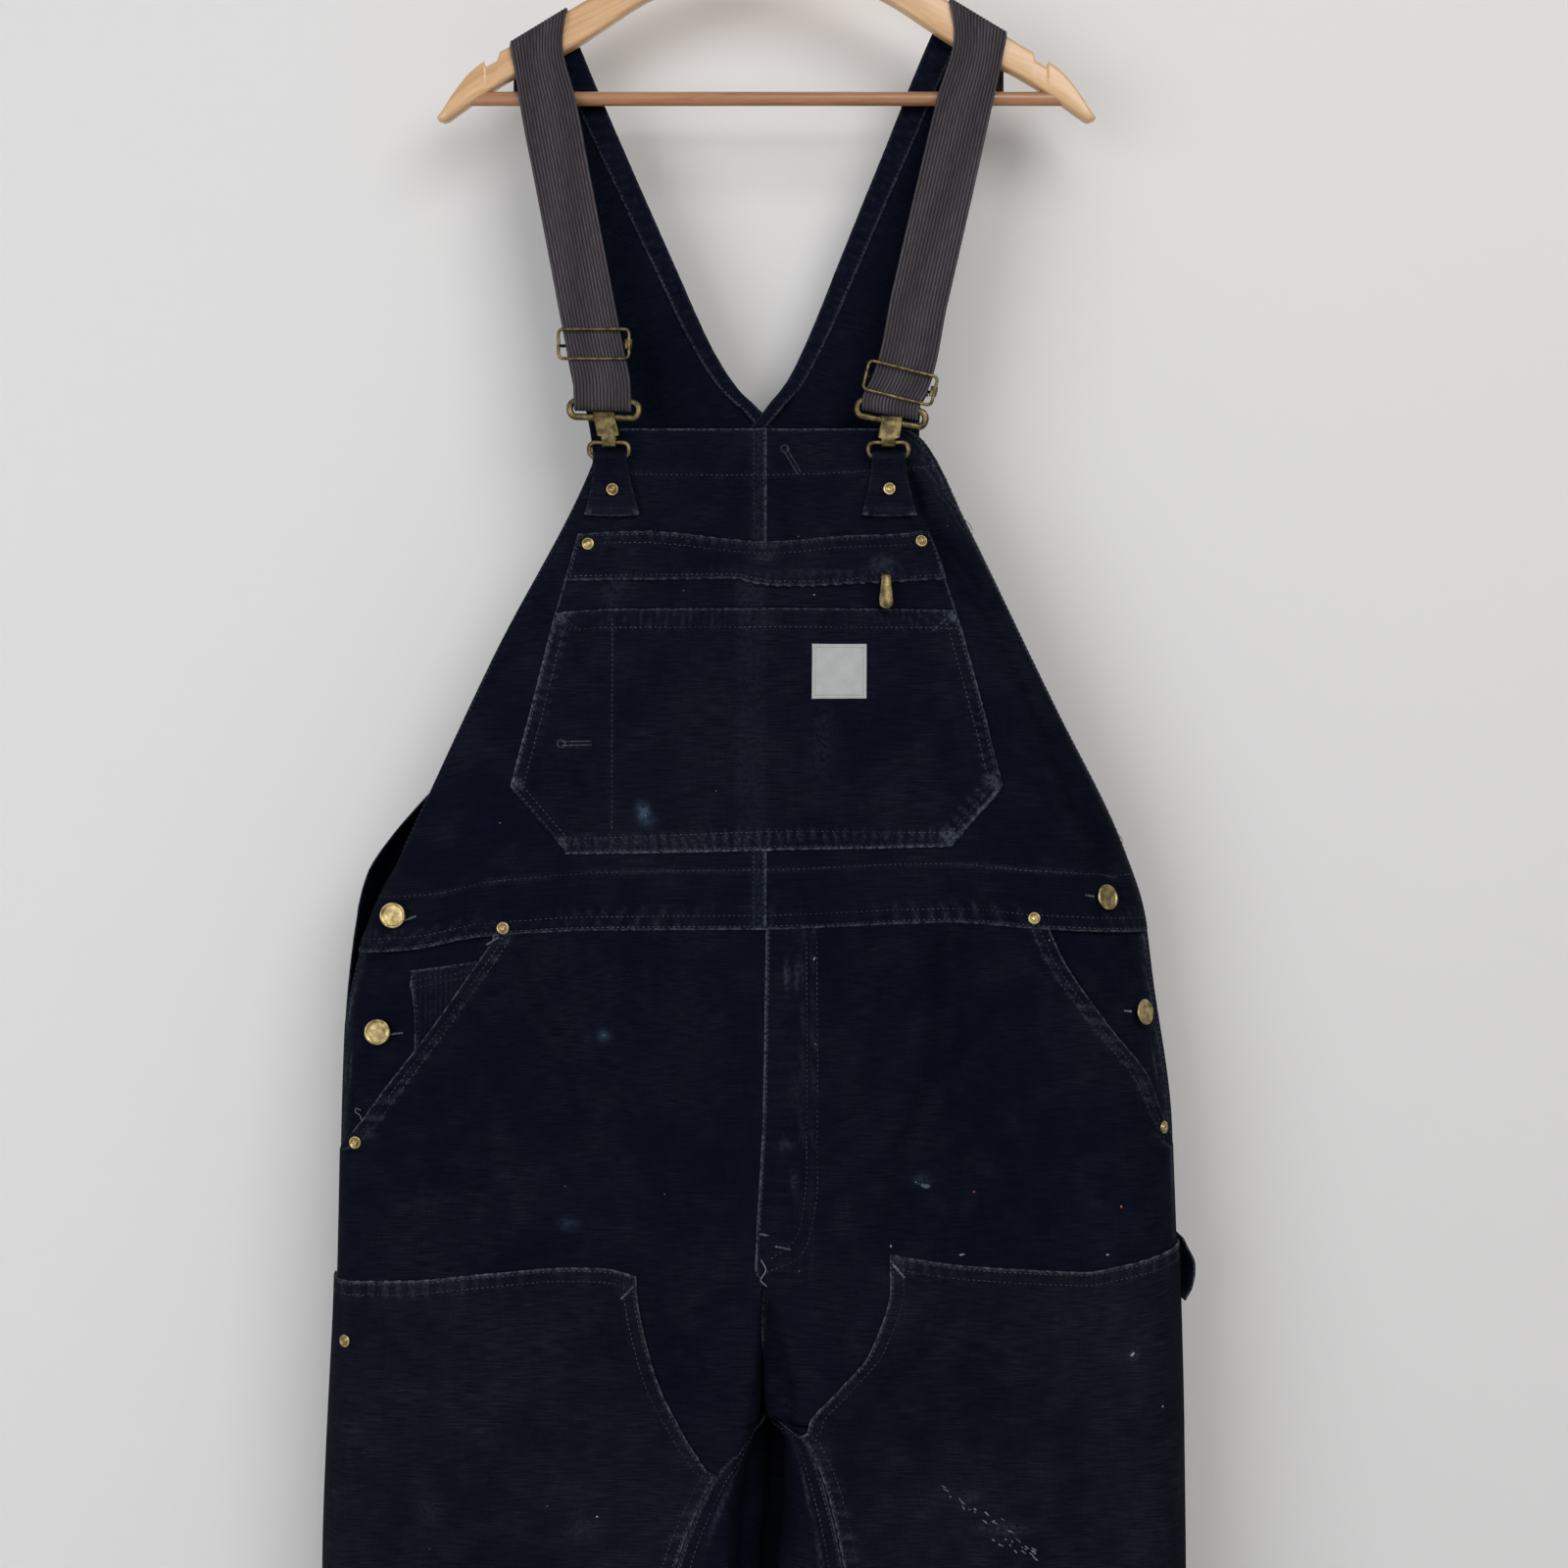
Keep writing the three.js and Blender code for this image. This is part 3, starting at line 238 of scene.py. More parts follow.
inseam_x = {
    RIGHT: curve([(-1100, -6), (-1134, -35), (-1204, -61), (-1300, -72), (-1862, -74)]),
    LEFT: curve([(-1093, 3), (-1104, 25), (-1204, 52), (-1300, 64), (-1862, 66)]),
}
fold_x = curve([(-993, 5), (-1030, 12), (-1080, 22.6), (-1107, 19), (-1128, 12), (-1204, 12)])
fold_depth = curve([(-990, 0), (-1010, 5), (-1040, 13), (-1086, 20), (-1112, 14), (-1140, 0)])
waist_curve = curve([(285, -781), (240, -779), (190, -770), (120, -766), (0, -765), (-125, -760.5),
                     (-185, -765),
                     (-260, -768)])


def waist_seam(x):
    """Height of the seam that joins the bib to the trousers."""
    return waist_curve(-np.asarray(x, float))


# Soft folds of each face: the points of the fold's line, its width and its height, below 0 for a trough.
folds = {
    FRONT: [
        ([(186, -560), (236, -735)], 20, -2.5),
        ([(96, -462), (107, -494), (130, -523), (151, -550), (172, -592), (195, -647), (209, -677),
          (225, -708),
          (237, -738)], 8, -5.5),
        ([(112, -470), (124, -494), (148, -528), (168, -565), (190, -610), (214, -655), (229, -690)], 9,
         3.0),
        ([(168, -600), (181, -638), (195, -684), (208, -720), (219, -746)], 5, 2.4),
        ([(150, -640), (160, -690), (172, -726), (178, -752)], 9, -2.2),
        ([(158, -712), (156, -742), (146, -763)], 6, -2.2),
        ([(124, -775), (122, -830), (118, -866), (97, -914), (88, -960)], 12, -5.0),
        ([(136, -770), (140, -820), (138, -870), (122, -925)], 12, 2.6),
        ([(110, -767), (76, -812), (39, -864), (36, -884)], 5, -2.0),
        ([(106, -772), (68, -836), (48, -880)], 14, 3.2),
        ([(-161, -772), (-146, -806), (-131, -836), (-120, -885)], 9, -2.8),
        ([(-174, -782), (-160, -820), (-148, -860)], 12, 1.8),
        ([(-118, -775), (-104, -830), (-100, -890)], 14, -1.6),
        ([(-200, -960), (-110, -1010)], 30, 3),
        ([(90, -1010), (14, -1100)], 26, 3),
        ([(-62, -1000), (-30, -1060), (-10, -1088)], 12, 2.2),
        ([(50, -1000), (24, -1050), (6, -1086)], 10, 1.8),
        ([(-92, -1075), (-60, -1112), (-30, -1126)], 9, -2.2),
        ([(-150, -1010), (-210, -1060)], 16, -1.6),
        ([(-80, -1140), (-150, -1165), (-230, -1160)], 16, -2.2),
        ([(60, -1130), (130, -1165), (220, -1172)], 16, -2.4),
        ([(-160, -1180), (-150, -1800)], 44, 5),
        ([(165, -1160), (150, -1800)], 44, 5),
        ([(-230, -1440), (-90, -1490)], 34, -4),
        ([(220, -1450), (90, -1500)], 34, -4),
        ([(-250, -1330), (-170, -1352), (-90, -1340)], 18, -2.6),
        ([(245, -1345), (160, -1362), (90, -1348)], 18, -2.6),
        ([(-245, -1560), (-180, -1580), (-95, -1572)], 16, 2.2),
        ([(240, -1560), (170, -1590), (95, -1580)], 16, 2.2),
        ([(-180, -590), (-214, -660), (-232, -720)], 16, -1.6),
        ([(-104, -447), (-106, -560)], 18, 1.0),
    ],
    BACK: [
        ([(-120, -800), (-40, -980)], 40, 6),
        ([(120, -800), (40, -980)], 40, 6),
        ([(-160, -1120), (-160, -1800)], 50, 6),
        ([(160, -1120), (160, -1800)], 50, 6),
        ([(-240, -1090), (-60, -1070)], 34, -5),
        ([(240, -1090), (60, -1070)], 34, -5),
        ([(-240, -1500), (-80, -1470)], 40, -5),
        ([(240, -1490), (80, -1465)], 40, -5),
        ([(-30, -1010), (-120, -1035), (-210, -1020)], 14, -2.6),
        ([(30, -1000), (130, -1040), (220, -1030)], 14, -2.6),
        ([(-20, -1080), (-90, -1125), (-190, -1150)], 14, -2.6),
        ([(16, -1080), (90, -1120), (190, -1140)], 14, -2.6),
        ([(-235, -1400), (-160, -1424), (-80, -1405)], 16, -2.8),
        ([(235, -1395), (150, -1420), (80, -1400)], 16, -2.8),
        ([(-240, -1560), (-150, -1585), (-80, -1560)], 16, 2.4),
        ([(240, -1555), (150, -1590), (80, -1565)], 16, 2.4),
        ([(-90, -560), (-60, -680), (-64, -760)], 22, -2.4),
        ([(95, -560), (70, -680), (66, -760)], 22, -2.4),
        ([(-180, -700), (-130, -740), (-60, -752)], 14, 2.0),
        ([(180, -700), (130, -740), (60, -752)], 14, 2.0),
        ([(-100, -300), (-84, -420), (-88, -520)], 16, 1.6),
        ([(86, -300), (74, -420), (80, -520)], 16, 1.6),
    ],
}


def nearest(line, x, z):
    """How far each point is from a line of (x, z) points, above 0 on its left, and the way along it."""
    best = np.full(np.shape(x), 1e9)
    side = np.ones(np.shape(x))
    way = np.zeros(np.shape(x))
    walked = 0.0
    for (ax, az), (bx, bz) in zip(line[:-1], line[1:]):
        dx, dz = bx - ax, bz - az
        length = math.hypot(dx, dz)
        t = unit(((x - ax) * dx + (z - az) * dz) / length**2)
        away = np.hypot(x - ax - t * dx, z - az - t * dz)
        closer = away < best
        best = np.where(closer, away, best)
        side = np.where(closer, np.sign(dx * (z - az) - dz * (x - ax) + 1e-9), side)
        way = np.where(closer, walked + t * length, way)
        walked += length
    return best * side, way


# Waves that keep any stretch of cloth from lying quite flat: wave numbers, phase and height of each.
ripple_dice = np.random.default_rng(7)
ripples = [(*ripple_dice.normal(0, 0.045, 2), ripple_dice.uniform(0, 6.28), 0.34) for _ in range(9)]
ripples += [(*ripple_dice.normal(0, 0.14, 2), ripple_dice.uniform(0, 6.28), 0.085) for _ in range(10)]


def relief(face, x, z):
    """Height of the folds and of the small unevenness above a face's even surface."""
    height = np.zeros(np.shape(x))
    for line, width, rise in folds[face]:
        away, _ = nearest(line, x, z)
        height += 1.4 * rise * bell(away, 0.9 * width)
    for kx, kz, phase, rise in ripples:
        height += rise * np.sin(kx * x + kz * z + phase + face)
    return height


def quarter(a, b):
    """Length of a quarter of an ellipse."""
    h = ((a - b) / (a + b + 1e-9)) ** 2
    return math.pi * (a + b) / 4 * (1 + 3 * h / (10 + np.sqrt(4 - 3 * h)))


def section(side, face, z):
    """What the outline of one half of the garment is made from at each height."""
    t = unit((VALLEY_TOP - z) / (VALLEY_TOP - CROTCH))
    turned = t**1.2
    y = middle_y[face](z)
    above = neck_x[side](z) if face == BACK else CENTRE + side * SEAM / 2
    inner = np.where(z > CROTCH, above, inside_x[side](z))
    outer_width, outer_depth = corner_width[side](z), side_y[side][face](z) - y
    inner_width, inner_depth = INSIDE_ROUND[side] * turned, (INSIDE_Y - y) * turned
    outer_x = side_x[side][face](z) - side * outer_width
    inner_x = inner + side * inner_width
    first, last = quarter(outer_width, abs(outer_depth)), quarter(inner_width, abs(inner_depth))
    between = abs(outer_x - inner_x)
    return y, outer_x, outer_width, outer_depth, inner_x, inner_width, inner_depth, first, between, last


def face_point(side, face, share, z):
    """Points at shares of the way from the side of a face, 0, to its centre or inside edge, 1."""
    y, ox, ow, od, ix, iw, depth, first, middle, last = section(side, face, z)
    walked = share * (first + middle + last)
    turn = unit(1 - walked / first) * math.pi / 2
    inward = unit((walked - first - middle) / np.maximum(last, 1e-6)) * math.pi / 2
    x = np.where(walked < first, ox + side * ow * np.sin(turn),
                 ox + (ix - ox) * unit((walked - first) / middle) - side * iw * np.sin(inward))
    level = y + od * (1 - np.cos(turn)) + depth * (1 - np.cos(inward))
    if face == BACK:  # the seat's spare cloth fills the gap between the legs
        fill = unit((CROTCH - z) / 6) * unit((z + 1290) / 80)
        peak = math.radians(60 if side == RIGHT else 30)
        fill = fill * np.cos(np.clip((inward - peak) / 0.49, -1, 1) * math.pi / 2) ** 2
        x = x + fill * ((inside_x[RIGHT](z) + inside_x[LEFT](z)) / 2 - 2 * side - x)
    elif side == LEFT:  # beside the fly's foot the left front is folded back
        sunk = unit((fold_x(z) - x) / 9)
        level = np.maximum(level, y + fold_depth(z) * sunk * sunk * (3 - 2 * sunk))
    return np.stack([x, level + face * relief(face, x, z) * np.cos(turn) * np.cos(inward), z], -1)


def form(side, s, z):
    """Points of one half: s goes from the side, 0, over the front to 1, and over the back to the side, 2."""
    over_front = face_point(side, FRONT, unit(s), z)
    over_back = face_point(side, BACK, unit(2 - s), z)
    return np.where((s <= 1)[..., None], over_front, over_back)


def share_at(side, face, x, z):
    """The share of a face's width at which it has the given x."""
    _, ox, ow, _, ix, iw, _, first, middle, last = section(side, face, z)
    turn = np.arcsin(unit((x - ox) * side / ow))
    inward = np.arcsin(unit((ix - x) * side / np.maximum(iw, 1e-6)))
    walked = first * (1 - turn / (math.pi / 2)) + np.clip((ox - x) * side, 0,
                                                          middle) + last * inward / (math.pi / 2)
    return walked / (first + middle + last)


def lie_on(face, x, z):
    """Points of a face above the given x and z."""
    x, z = np.broadcast_arrays(np.asarray(x, float), np.asarray(z, float))
    halves = [face_point(side, face, share_at(side, face, x, z), z) for side in (RIGHT, LEFT)]
    return np.where((x < CENTRE)[..., None], *halves)


def steps(length, step, fine=(0.7, 2.0)):
    """Even steps along a length, with narrow ones at both ends for a soft edge, as shares of it."""
    ends = np.array([0, *fine]) / length
    count = max(2, round(length / step))
    inside = np.linspace(0, 1, count + 1)[1:-1]
    inside = inside[(inside > ends[-1] * 1.4) & (inside < 1 - ends[-1] * 1.4)]
    return np.r_[ends, inside, 1 - ends[::-1]]


made_faces = {}  # the outer face and the normals of each sheet's grid


def cloth_object(name, points, out, lift, thick, material, wear=None, stain=None):
    """A sheet with its thickness and soft edges. points is a grid, and out is the side its face looks to."""
    across, down = np.gradient(points, axis=1), np.gradient(points, axis=0)
    normal = np.cross(across, down)
    normal /= np.linalg.norm(normal, axis=2, keepdims=True) + 1e-12
    flip = np.sum(normal @ np.array(out, float)) < 0
    if flip:
        normal = -normal
    made_faces[name] = (points + normal * lift, normal)
    rows, columns = points.shape[:2]
    border = np.zeros((rows, columns, 1))
    border[0] = border[-1] = 1
    border[:, 0] = border[:, -1] = 1
    outer = points + normal * (lift - 0.38 * thick * border)
    inner = points + normal * (lift - thick + 0.38 * thick * border)
    vertices = np.concatenate([outer.reshape(-1, 3), inner.reshape(-1, 3)]) * MM
    ids = np.arange(rows * columns).reshape(rows, columns)
    quads = np.stack([ids[:-1, :-1], ids[1:, :-1], ids[1:, 1:], ids[:-1, 1:]], -1).reshape(-1, 4)
    edge = np.r_[ids[0, :-1], ids[:-1, -1], ids[-1, :0:-1], ids[:0:-1, 0]]
    after = np.roll(edge, -1)
    rim = np.stack([edge, after, after + rows * columns, edge + rows * columns], -1)
    faces = np.concatenate([quads, quads[:, ::-1] + rows * columns, rim])
    if not flip:
        faces = faces[:, ::-1]
    mesh = bpy.data.meshes.new(name)
    mesh.vertices.add(len(vertices))
    mesh.vertices.foreach_set("co", vertices.ravel())
    mesh.loops.add(faces.size)
    mesh.loops.foreach_set("vertex_index", faces.ravel().astype(np.int32))
    mesh.polygons.add(len(faces))
    mesh.polygons.foreach_set("loop_start", np.arange(0, faces.size, 4, dtype=np.int32))
    mesh.update(calc_edges=True)
    mesh.polygons.foreach_set("use_smooth", np.ones(len(faces), bool))
    wide = np.cumsum(np.r_[0, np.linalg.norm(np.diff(points[rows // 2], axis=0), axis=1)])
    tall = np.cumsum(np.r_[0, np.linalg.norm(np.diff(points[:, columns // 2], axis=0), axis=1)])
    grid = np.stack(np.meshgrid(wide, tall), -1).reshape(-1, 2) * MM
    grid = np.concatenate([grid, grid])
    mesh.uv_layers.new(name="cloth").data.foreach_set("uv", grid[faces.ravel()].ravel())
    for key, values in (("wear", wear), ("stain", stain)):
        level = np.zeros(rows * columns) if values is None else np.broadcast_to(values,
                                                                                (rows, columns)).ravel()
        both = np.concatenate([level, level * (1 if key == "stain" else 0.4)])
        mesh.attributes.new(key, "FLOAT", "POINT").data.foreach_set("value", both)
    mesh.materials.append(material)
    mesh.validate()
    return put(name, mesh)


def from_edges(points):
    """How far each point of a grid is from its left, right, top and bottom edges, along the cloth."""
    wide = np.linalg.norm(np.diff(points, axis=1), axis=2)
    tall = np.linalg.norm(np.diff(points, axis=0), axis=2)
    left = np.concatenate([np.zeros((points.shape[0], 1)), np.cumsum(wide, axis=1)], axis=1)
    top = np.concatenate([np.zeros((1, points.shape[1])), np.cumsum(tall, axis=0)], axis=0)
    return left, left[:, -1:] - left, top, top[-1:] - top


def hem(away, way, depth, ribs, rise, seed=0.0):
    """A sewn edge, pulled up into small ribs between the fold and its stitches: its height and its wear."""
    inside = unit(away / 1.5) * unit((depth - away) / 3 + 0.5)
    beat = np.sin(2 * math.pi * way / ribs + 1.7 * np.sin(way / (ribs * 3.1) + seed) + seed)
    loud = 0.55 + 0.45 * np.sin(way / (ribs * 5.3) + 2 * seed)
    crest = unit(beat) ** 2 * inside * loud
    rubbed = 0.95 * bell(away, 1.0) * (0.70 + 0.30 * beat) + 0.15 * crest
    return rise * (beat * loud * inside), rubbed


def add_sockets(tree, way, kind, *names):
    for name in names:
        tree.interface.new_socket(name=name, in_out=way, socket_type="NodeSocket" + kind)


def object_place(tree):
    return add_node(tree, "ShaderNodeTexCoord").outputs["Object"]


def cloth_place(tree):
    """The place on the sheet itself, in metres across it and down it."""
    return add_node(tree, "ShaderNodeUVMap", {"uv_map": "cloth"}).outputs["UV"]


def level_of(tree, name):
    """A level that is kept at the vertices."""
    return add_node(tree, "ShaderNodeAttribute", {"attribute_name": name}).outputs["Fac"]


def noise(tree, vector, scale, detail=2.0, stretch=None, distortion=0.0):
    if stretch:
        vector = add_node(tree, "ShaderNodeMapping", Vector=vector, Scale=stretch).outputs[0]
    return add_node(tree, "ShaderNodeTexNoise", Vector=vector, Scale=scale, Detail=detail,
                    Distortion=distortion).outputs["Fac"]


def threads(tree, vector, way, scale, distortion, detail=2.0):
    """Uneven stripes of thread, as a level between them and on them."""
    return add_node(tree, "ShaderNodeTexWave", {"bands_direction": way}, Vector=vector, Scale=scale,
                    Distortion=distortion, Detail=detail).outputs["Fac"]


def spread(tree, value, low, high, to_low=0.0, to_high=1.0):
    """A value carried from one range over to another, and kept inside it."""
    return add_node(tree, "ShaderNodeMapRange", Value=value, From_Min=low, From_Max=high, To_Min=to_low,
                    To_Max=to_high).outputs[0]


def blend(tree, share, low, high, kind="MIX"):
    """A colour between two others."""
    return add_node(tree, "ShaderNodeMix", {"data_type": "RGBA", "blend_type": kind}, _0=share, _6=low,
                    _7=high).outputs[2]


def bumped(tree, height, strength, distance):
    return add_node(tree, "ShaderNodeBump", Strength=strength, Distance=distance, Height=height).outputs[0]


def finish(material, **inputs):
    """Gives a material one surface with these inputs."""
    show(material.node_tree, add_node(material.node_tree, "ShaderNodeBsdfPrincipled", **inputs).outputs[0])
    return material


def duck_group():
    """Cotton duck as a node group: heavy crosswise ribs, slubs, fading, rubbed edges and stains."""
    tree = bpy.data.node_groups.new("duck weave", "ShaderNodeTree")
    add_sockets(tree, "INPUT", "Color", "Dark", "Faded", "Rubbed")
    add_sockets(tree, "INPUT", "Float", "Fading")
    add_sockets(tree, "OUTPUT", "Color", "Color")
    add_sockets(tree, "OUTPUT", "Float", "Roughness", "Height")
    given, result = tree.nodes.new("NodeGroupInput"), tree.nodes.new("NodeGroupOutput")
    cloth, place = cloth_place(tree), object_place(tree)
    ribs = noise(tree, cloth, 58, 3, (1, 24, 1))
    slubs = noise(tree, cloth, 60, 1, (1, 9, 1))
    warp = noise(tree, cloth, 46, 1, (18, 1, 1))
    cloud, patchy = noise(tree, place, 13, 4), noise(tree, place, 46, 3)
    fading = math_node(tree, "ADD", spread(tree, cloud, 0.38, 0.66), spread(tree, patchy, 0.45, 0.75))
    fading = math_node(tree, "MULTIPLY", fading, given.outputs["Fading"])
    fading = math_node(tree, "MULTIPLY", fading, spread(tree, ribs, 0.35, 0.62, 0.25, 1.25))
    color = blend(tree, fading, given.outputs["Dark"], given.outputs["Faded"])
    shade = math_node(tree, "ADD", spread(tree, ribs, 0.3, 0.7, 0.50, 1.12),
                      spread(tree, slubs, 0.35, 0.7, 0.0, 0.40))
    shade = math_node(tree, "MULTIPLY", shade, spread(tree, warp, 0.3, 0.7, 0.85, 1.12))
    color = blend(tree, 0.75, color, shade, "MULTIPLY")
    broken = math_node(tree, "MULTIPLY", level_of(tree, "wear"),
                       spread(tree, noise(tree, place, 420, 2), 0.36, 0.62, 0.15, 1.15))
    color = blend(tree, broken, color, given.outputs["Rubbed"])
    soaked = math_node(tree, "MULTIPLY", level_of(tree, "stain"),
                       spread(tree, noise(tree, place, 260, 3), 0.3, 0.6, 0.2, 1.1))
    color = blend(tree, soaked, color, (0.16, 0.27, 0.42, 1))
    lint = add_node(tree, "ShaderNodeTexVoronoi", Vector=place, Scale=90.0, Randomness=1.0)
    chance = add_node(tree, "ShaderNodeSeparateColor", Color=lint.outputs["Color"]).outputs[0]
    speck = math_node(tree, "MULTIPLY", spread(tree, lint.outputs["Distance"], 0.035, 0.02),
                      spread(tree, chance, 0.93, 0.95))
    color = blend(tree, speck, color, (0.30, 0.33, 0.38, 1))
    weave = math_node(tree, "MULTIPLY", threads(tree, cloth, "Y", 330.0, 2.2, 1.0),
                      threads(tree, cloth, "X", 300.0, 2.0, 1.0))
    height = math_node(tree, "ADD", math_node(tree, "MULTIPLY", ribs, 0.8),
                       math_node(tree, "MULTIPLY", weave, 0.5))
    tree.links.new(color, result.inputs["Color"])
    tree.links.new(spread(tree, patchy, 0.3, 0.7, 0.80, 0.96), result.inputs["Roughness"])
    tree.links.new(height, result.inputs["Height"])
    return tree


duck_tree = duck_group()


def duck_material(name, dark, faded, rubbed, fading):
    material, tree = new_material(name)
    group = add_node(tree, "ShaderNodeGroup", {"node_tree": duck_tree}, Dark=(*dark, 1), Faded=(*faded, 1),
                     Rubbed=(*rubbed, 1), Fading=fading)
    return finish(material, Base_Color=group.outputs["Color"], Roughness=group.outputs["Roughness"],
                  Normal=bumped(tree, group.outputs["Height"], 0.55, 0.0006), Specular_IOR_Level=0.03)


duck = duck_material("navy duck", (0.0019, 0.0029, 0.0080), (0.0066, 0.0076, 0.0134), (0.085, 0.104, 0.140),
                     0.50)


def rows_between(top, foot, step, fine=(0.7, 2.0)):
    """Heights of a grid's rows, with narrow ones at both ends."""
    return top + (foot - top) * steps(abs(top - foot), step, fine)


def weigh(points, marks):
    """How stained each point is, from marks of (x, z, half width, half height, strength)."""
    total = np.zeros(points.shape[:2])
    for x, z, wide, high, strength in marks:
        total += strength * bell(points[..., 0] - x, wide) * bell(points[..., 2] - z, high)
    return unit(total)


felled_front = [(0.5, -425), (0.5, -770)]  # the free edge of the centre front seam
side_name = {RIGHT: "right", LEFT: "left"}


def hang(obj, slot, *nodes, body="overalls"):
    """The piece moves with a body and stands for these solids, which are hidden; slot is not used."""
    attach(obj, body)
    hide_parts(*nodes)
    return obj


def bib_half(side):
    rows = rows_between(BIB_TOP, WAIST, 3.0)
    u = steps(275, 3.2)
    z = np.repeat(rows[:, None], len(u), 1)
    reach = 1 + 3.4 / 270 if side == RIGHT else 1.0
    s = np.broadcast_to(u * reach, z.shape)
    for _ in range(4):
        points = form(side, unit(s), z)
        share = (rows - BIB_TOP) / (WAIST - BIB_TOP)
        z = BIB_TOP + (waist_seam(points[..., 0]) - BIB_TOP) * share[:, None]
    points = form(side, unit(s), z)
    points[..., 0] += unit(s - 1) * 275  # the right half runs on over the left
    x, z = points[..., 0], points[..., 2]
    left, _, top, foot = from_edges(points)
    rise, rubbed = hem(foot, x, 15, 4.6, 0.32, 0.4 + side)
    lifted = 1.15 * unit((16 - foot) / 5)
    fold, worn = hem(left, z, 9, 6.5, 0.16, 2.0)
    wear = rubbed * 0.8 + worn * (0.25 if side == RIGHT else 0.7)
    wear += 0.55 * bell(top, 1.0) + 0.05 * bell(top - 32, 1.2)
    wear += 0.10 * bell(foot - 40, 0.9)
    if side == RIGHT:
        centre, _ = nearest(felled_front, x, z)
        band = unit((20 - abs(centre)) / 3)
        lifted += 1.0 * band
        wear += 0.75 * bell(centre, 1.1) + 0.06 * band * bell(abs(centre) - 6, 5)
    else:
        streaks = 0.5 + 0.5 * np.sin(left / 1.1 + 2.4 * np.sin(z / 9) + 1.3 * np.sin(z / 3.1))
        wear += 0.22 * streaks * bell(z + 466, 32) * bell(left - 9, 10)
    points[..., 1] -= rise + fold * 0.6 + lifted
    return cloth_object(f"bib_half_{side_name[side]}", points, (0, -1, 0), 0, CLOTH, duck, wear)


for side in (RIGHT, LEFT):
    piece = hang(bib_half(side), "duck_canvas", f"bib_{side_name[side]}")

# ------------------------------------------------------------------ high back
# The back is one high piece a side, seamed at the centre, whose horns go up to the braces behind the hanger.
# The neck's edge is turned to the inside as a 20 mm hem, which shows from the front.
ARM_STOPS = [(0, -78), (-60, -97), (-120, -132), (-173, -164), (-200, -181), (-224, -212)]
arm_curve = curve(ARM_STOPS)
HORN_BELOW_ARM = 9.3


def arm_top(x):
    """Height of the top of the hanger's arms."""
    return arm_curve(-abs(np.asarray(x, float)))


def upper_back(side):
    rows = steps(600, 4.5)
    u = steps(230, 3.6)
    s = 1 + 1e-5 + (1 - 2e-5) * np.broadcast_to(u, (len(rows), len(u)))
    z = np.repeat((-160 + (WAIST + 160) * rows)[:, None], len(u), 1)
    for _ in range(6):
        points = form(side, s, z)
        top = arm_top(points[..., 0]) - HORN_BELOW_ARM
        z = top + (WAIST - 2 - top) * rows[:, None]
    points = form(side, s, z)
    z = points[..., 2]
    neck, armhole, _, foot = from_edges(points)
    rise, worn = hem(armhole, z, 9, 6.0, 0.22, 1.0 + side)
    neck_rise, neck_worn = hem(neck, z, 19, 7.0, 0.14, side)
    seam = bell(neck, 7.5) * unit((-409 - z) / 8)
    points[..., 1] += rise + neck_rise + 0.7 * seam + 0.9 * unit((14 - foot) / 5)
    if side == RIGHT:  # its centre edge runs on inside the left half
        lap = unit(1 - neck / 7) * unit((-411 - z) / 2)
        points[..., 0] += 3.4 * lap
        points[..., 1] -= 2.6 * unit(2 * lap)
    wear = 0.6 * worn + 0.35 * neck_worn + 0.25 * bell(foot, 1.2)
    return cloth_object(f"high_back_{side_name[side]}", points, (0, 1, 0), 0, CLOTH, duck_inside, wear)


def neck_hem(side):
    """The turned edge of the neck, on the inside of the back. The two cross below the neck's point."""
    rows = rows_between(-152, -425, 3.2)
    across = steps(20, 2.2, (0.6, 1.4))
    z = np.repeat(rows[:, None], len(across), 1)
    wide = np.interp(z, [-425, -395, -346, -150], [7.5, 9.2, 11.3, 17])
    past = np.clip(-411 - z, 0, 20)
    x = np.where(past > 0, neck_x[side](-411), neck_x[side](z)) + side * (0.4 + wide * across - 0.8 * past)
    z = z - across * wide * 0.42
    points = lie_on(BACK, x, z)
    crossed = unit((-400 - z) / 8)
    points[..., 1] -= CLOTH + 0.2 + crossed * (3.6 if side == LEFT else 2.0)
    left, right, _, _ = from_edges(points)
    beat = np.sin(z / 1.35 + 2.0 * np.sin(z / 13))
    points[..., 1] -= 0.12 * beat * unit(right / 2)
    wear = 0.50 * bell(right, 1.0) + 0.22 * bell(left, 1.0) + 0.05 * unit(beat)
    return cloth_object(f"neck_hem_{side_name[side]}", points, (0, -1, 0), 1.3, 1.3, duck_inside, wear)


duck_inside = duck_material("duck of the back", (0.0019, 0.0029, 0.0080), (0.0042, 0.0056, 0.0125),
                            (0.060, 0.076, 0.108), 0.45)
for side in (RIGHT, LEFT):
    hem_piece = hang(neck_hem(side), "duck_canvas")
    piece = hang(upper_back(side), "duck_canvas", f"back_upper_{side_name[side]}")

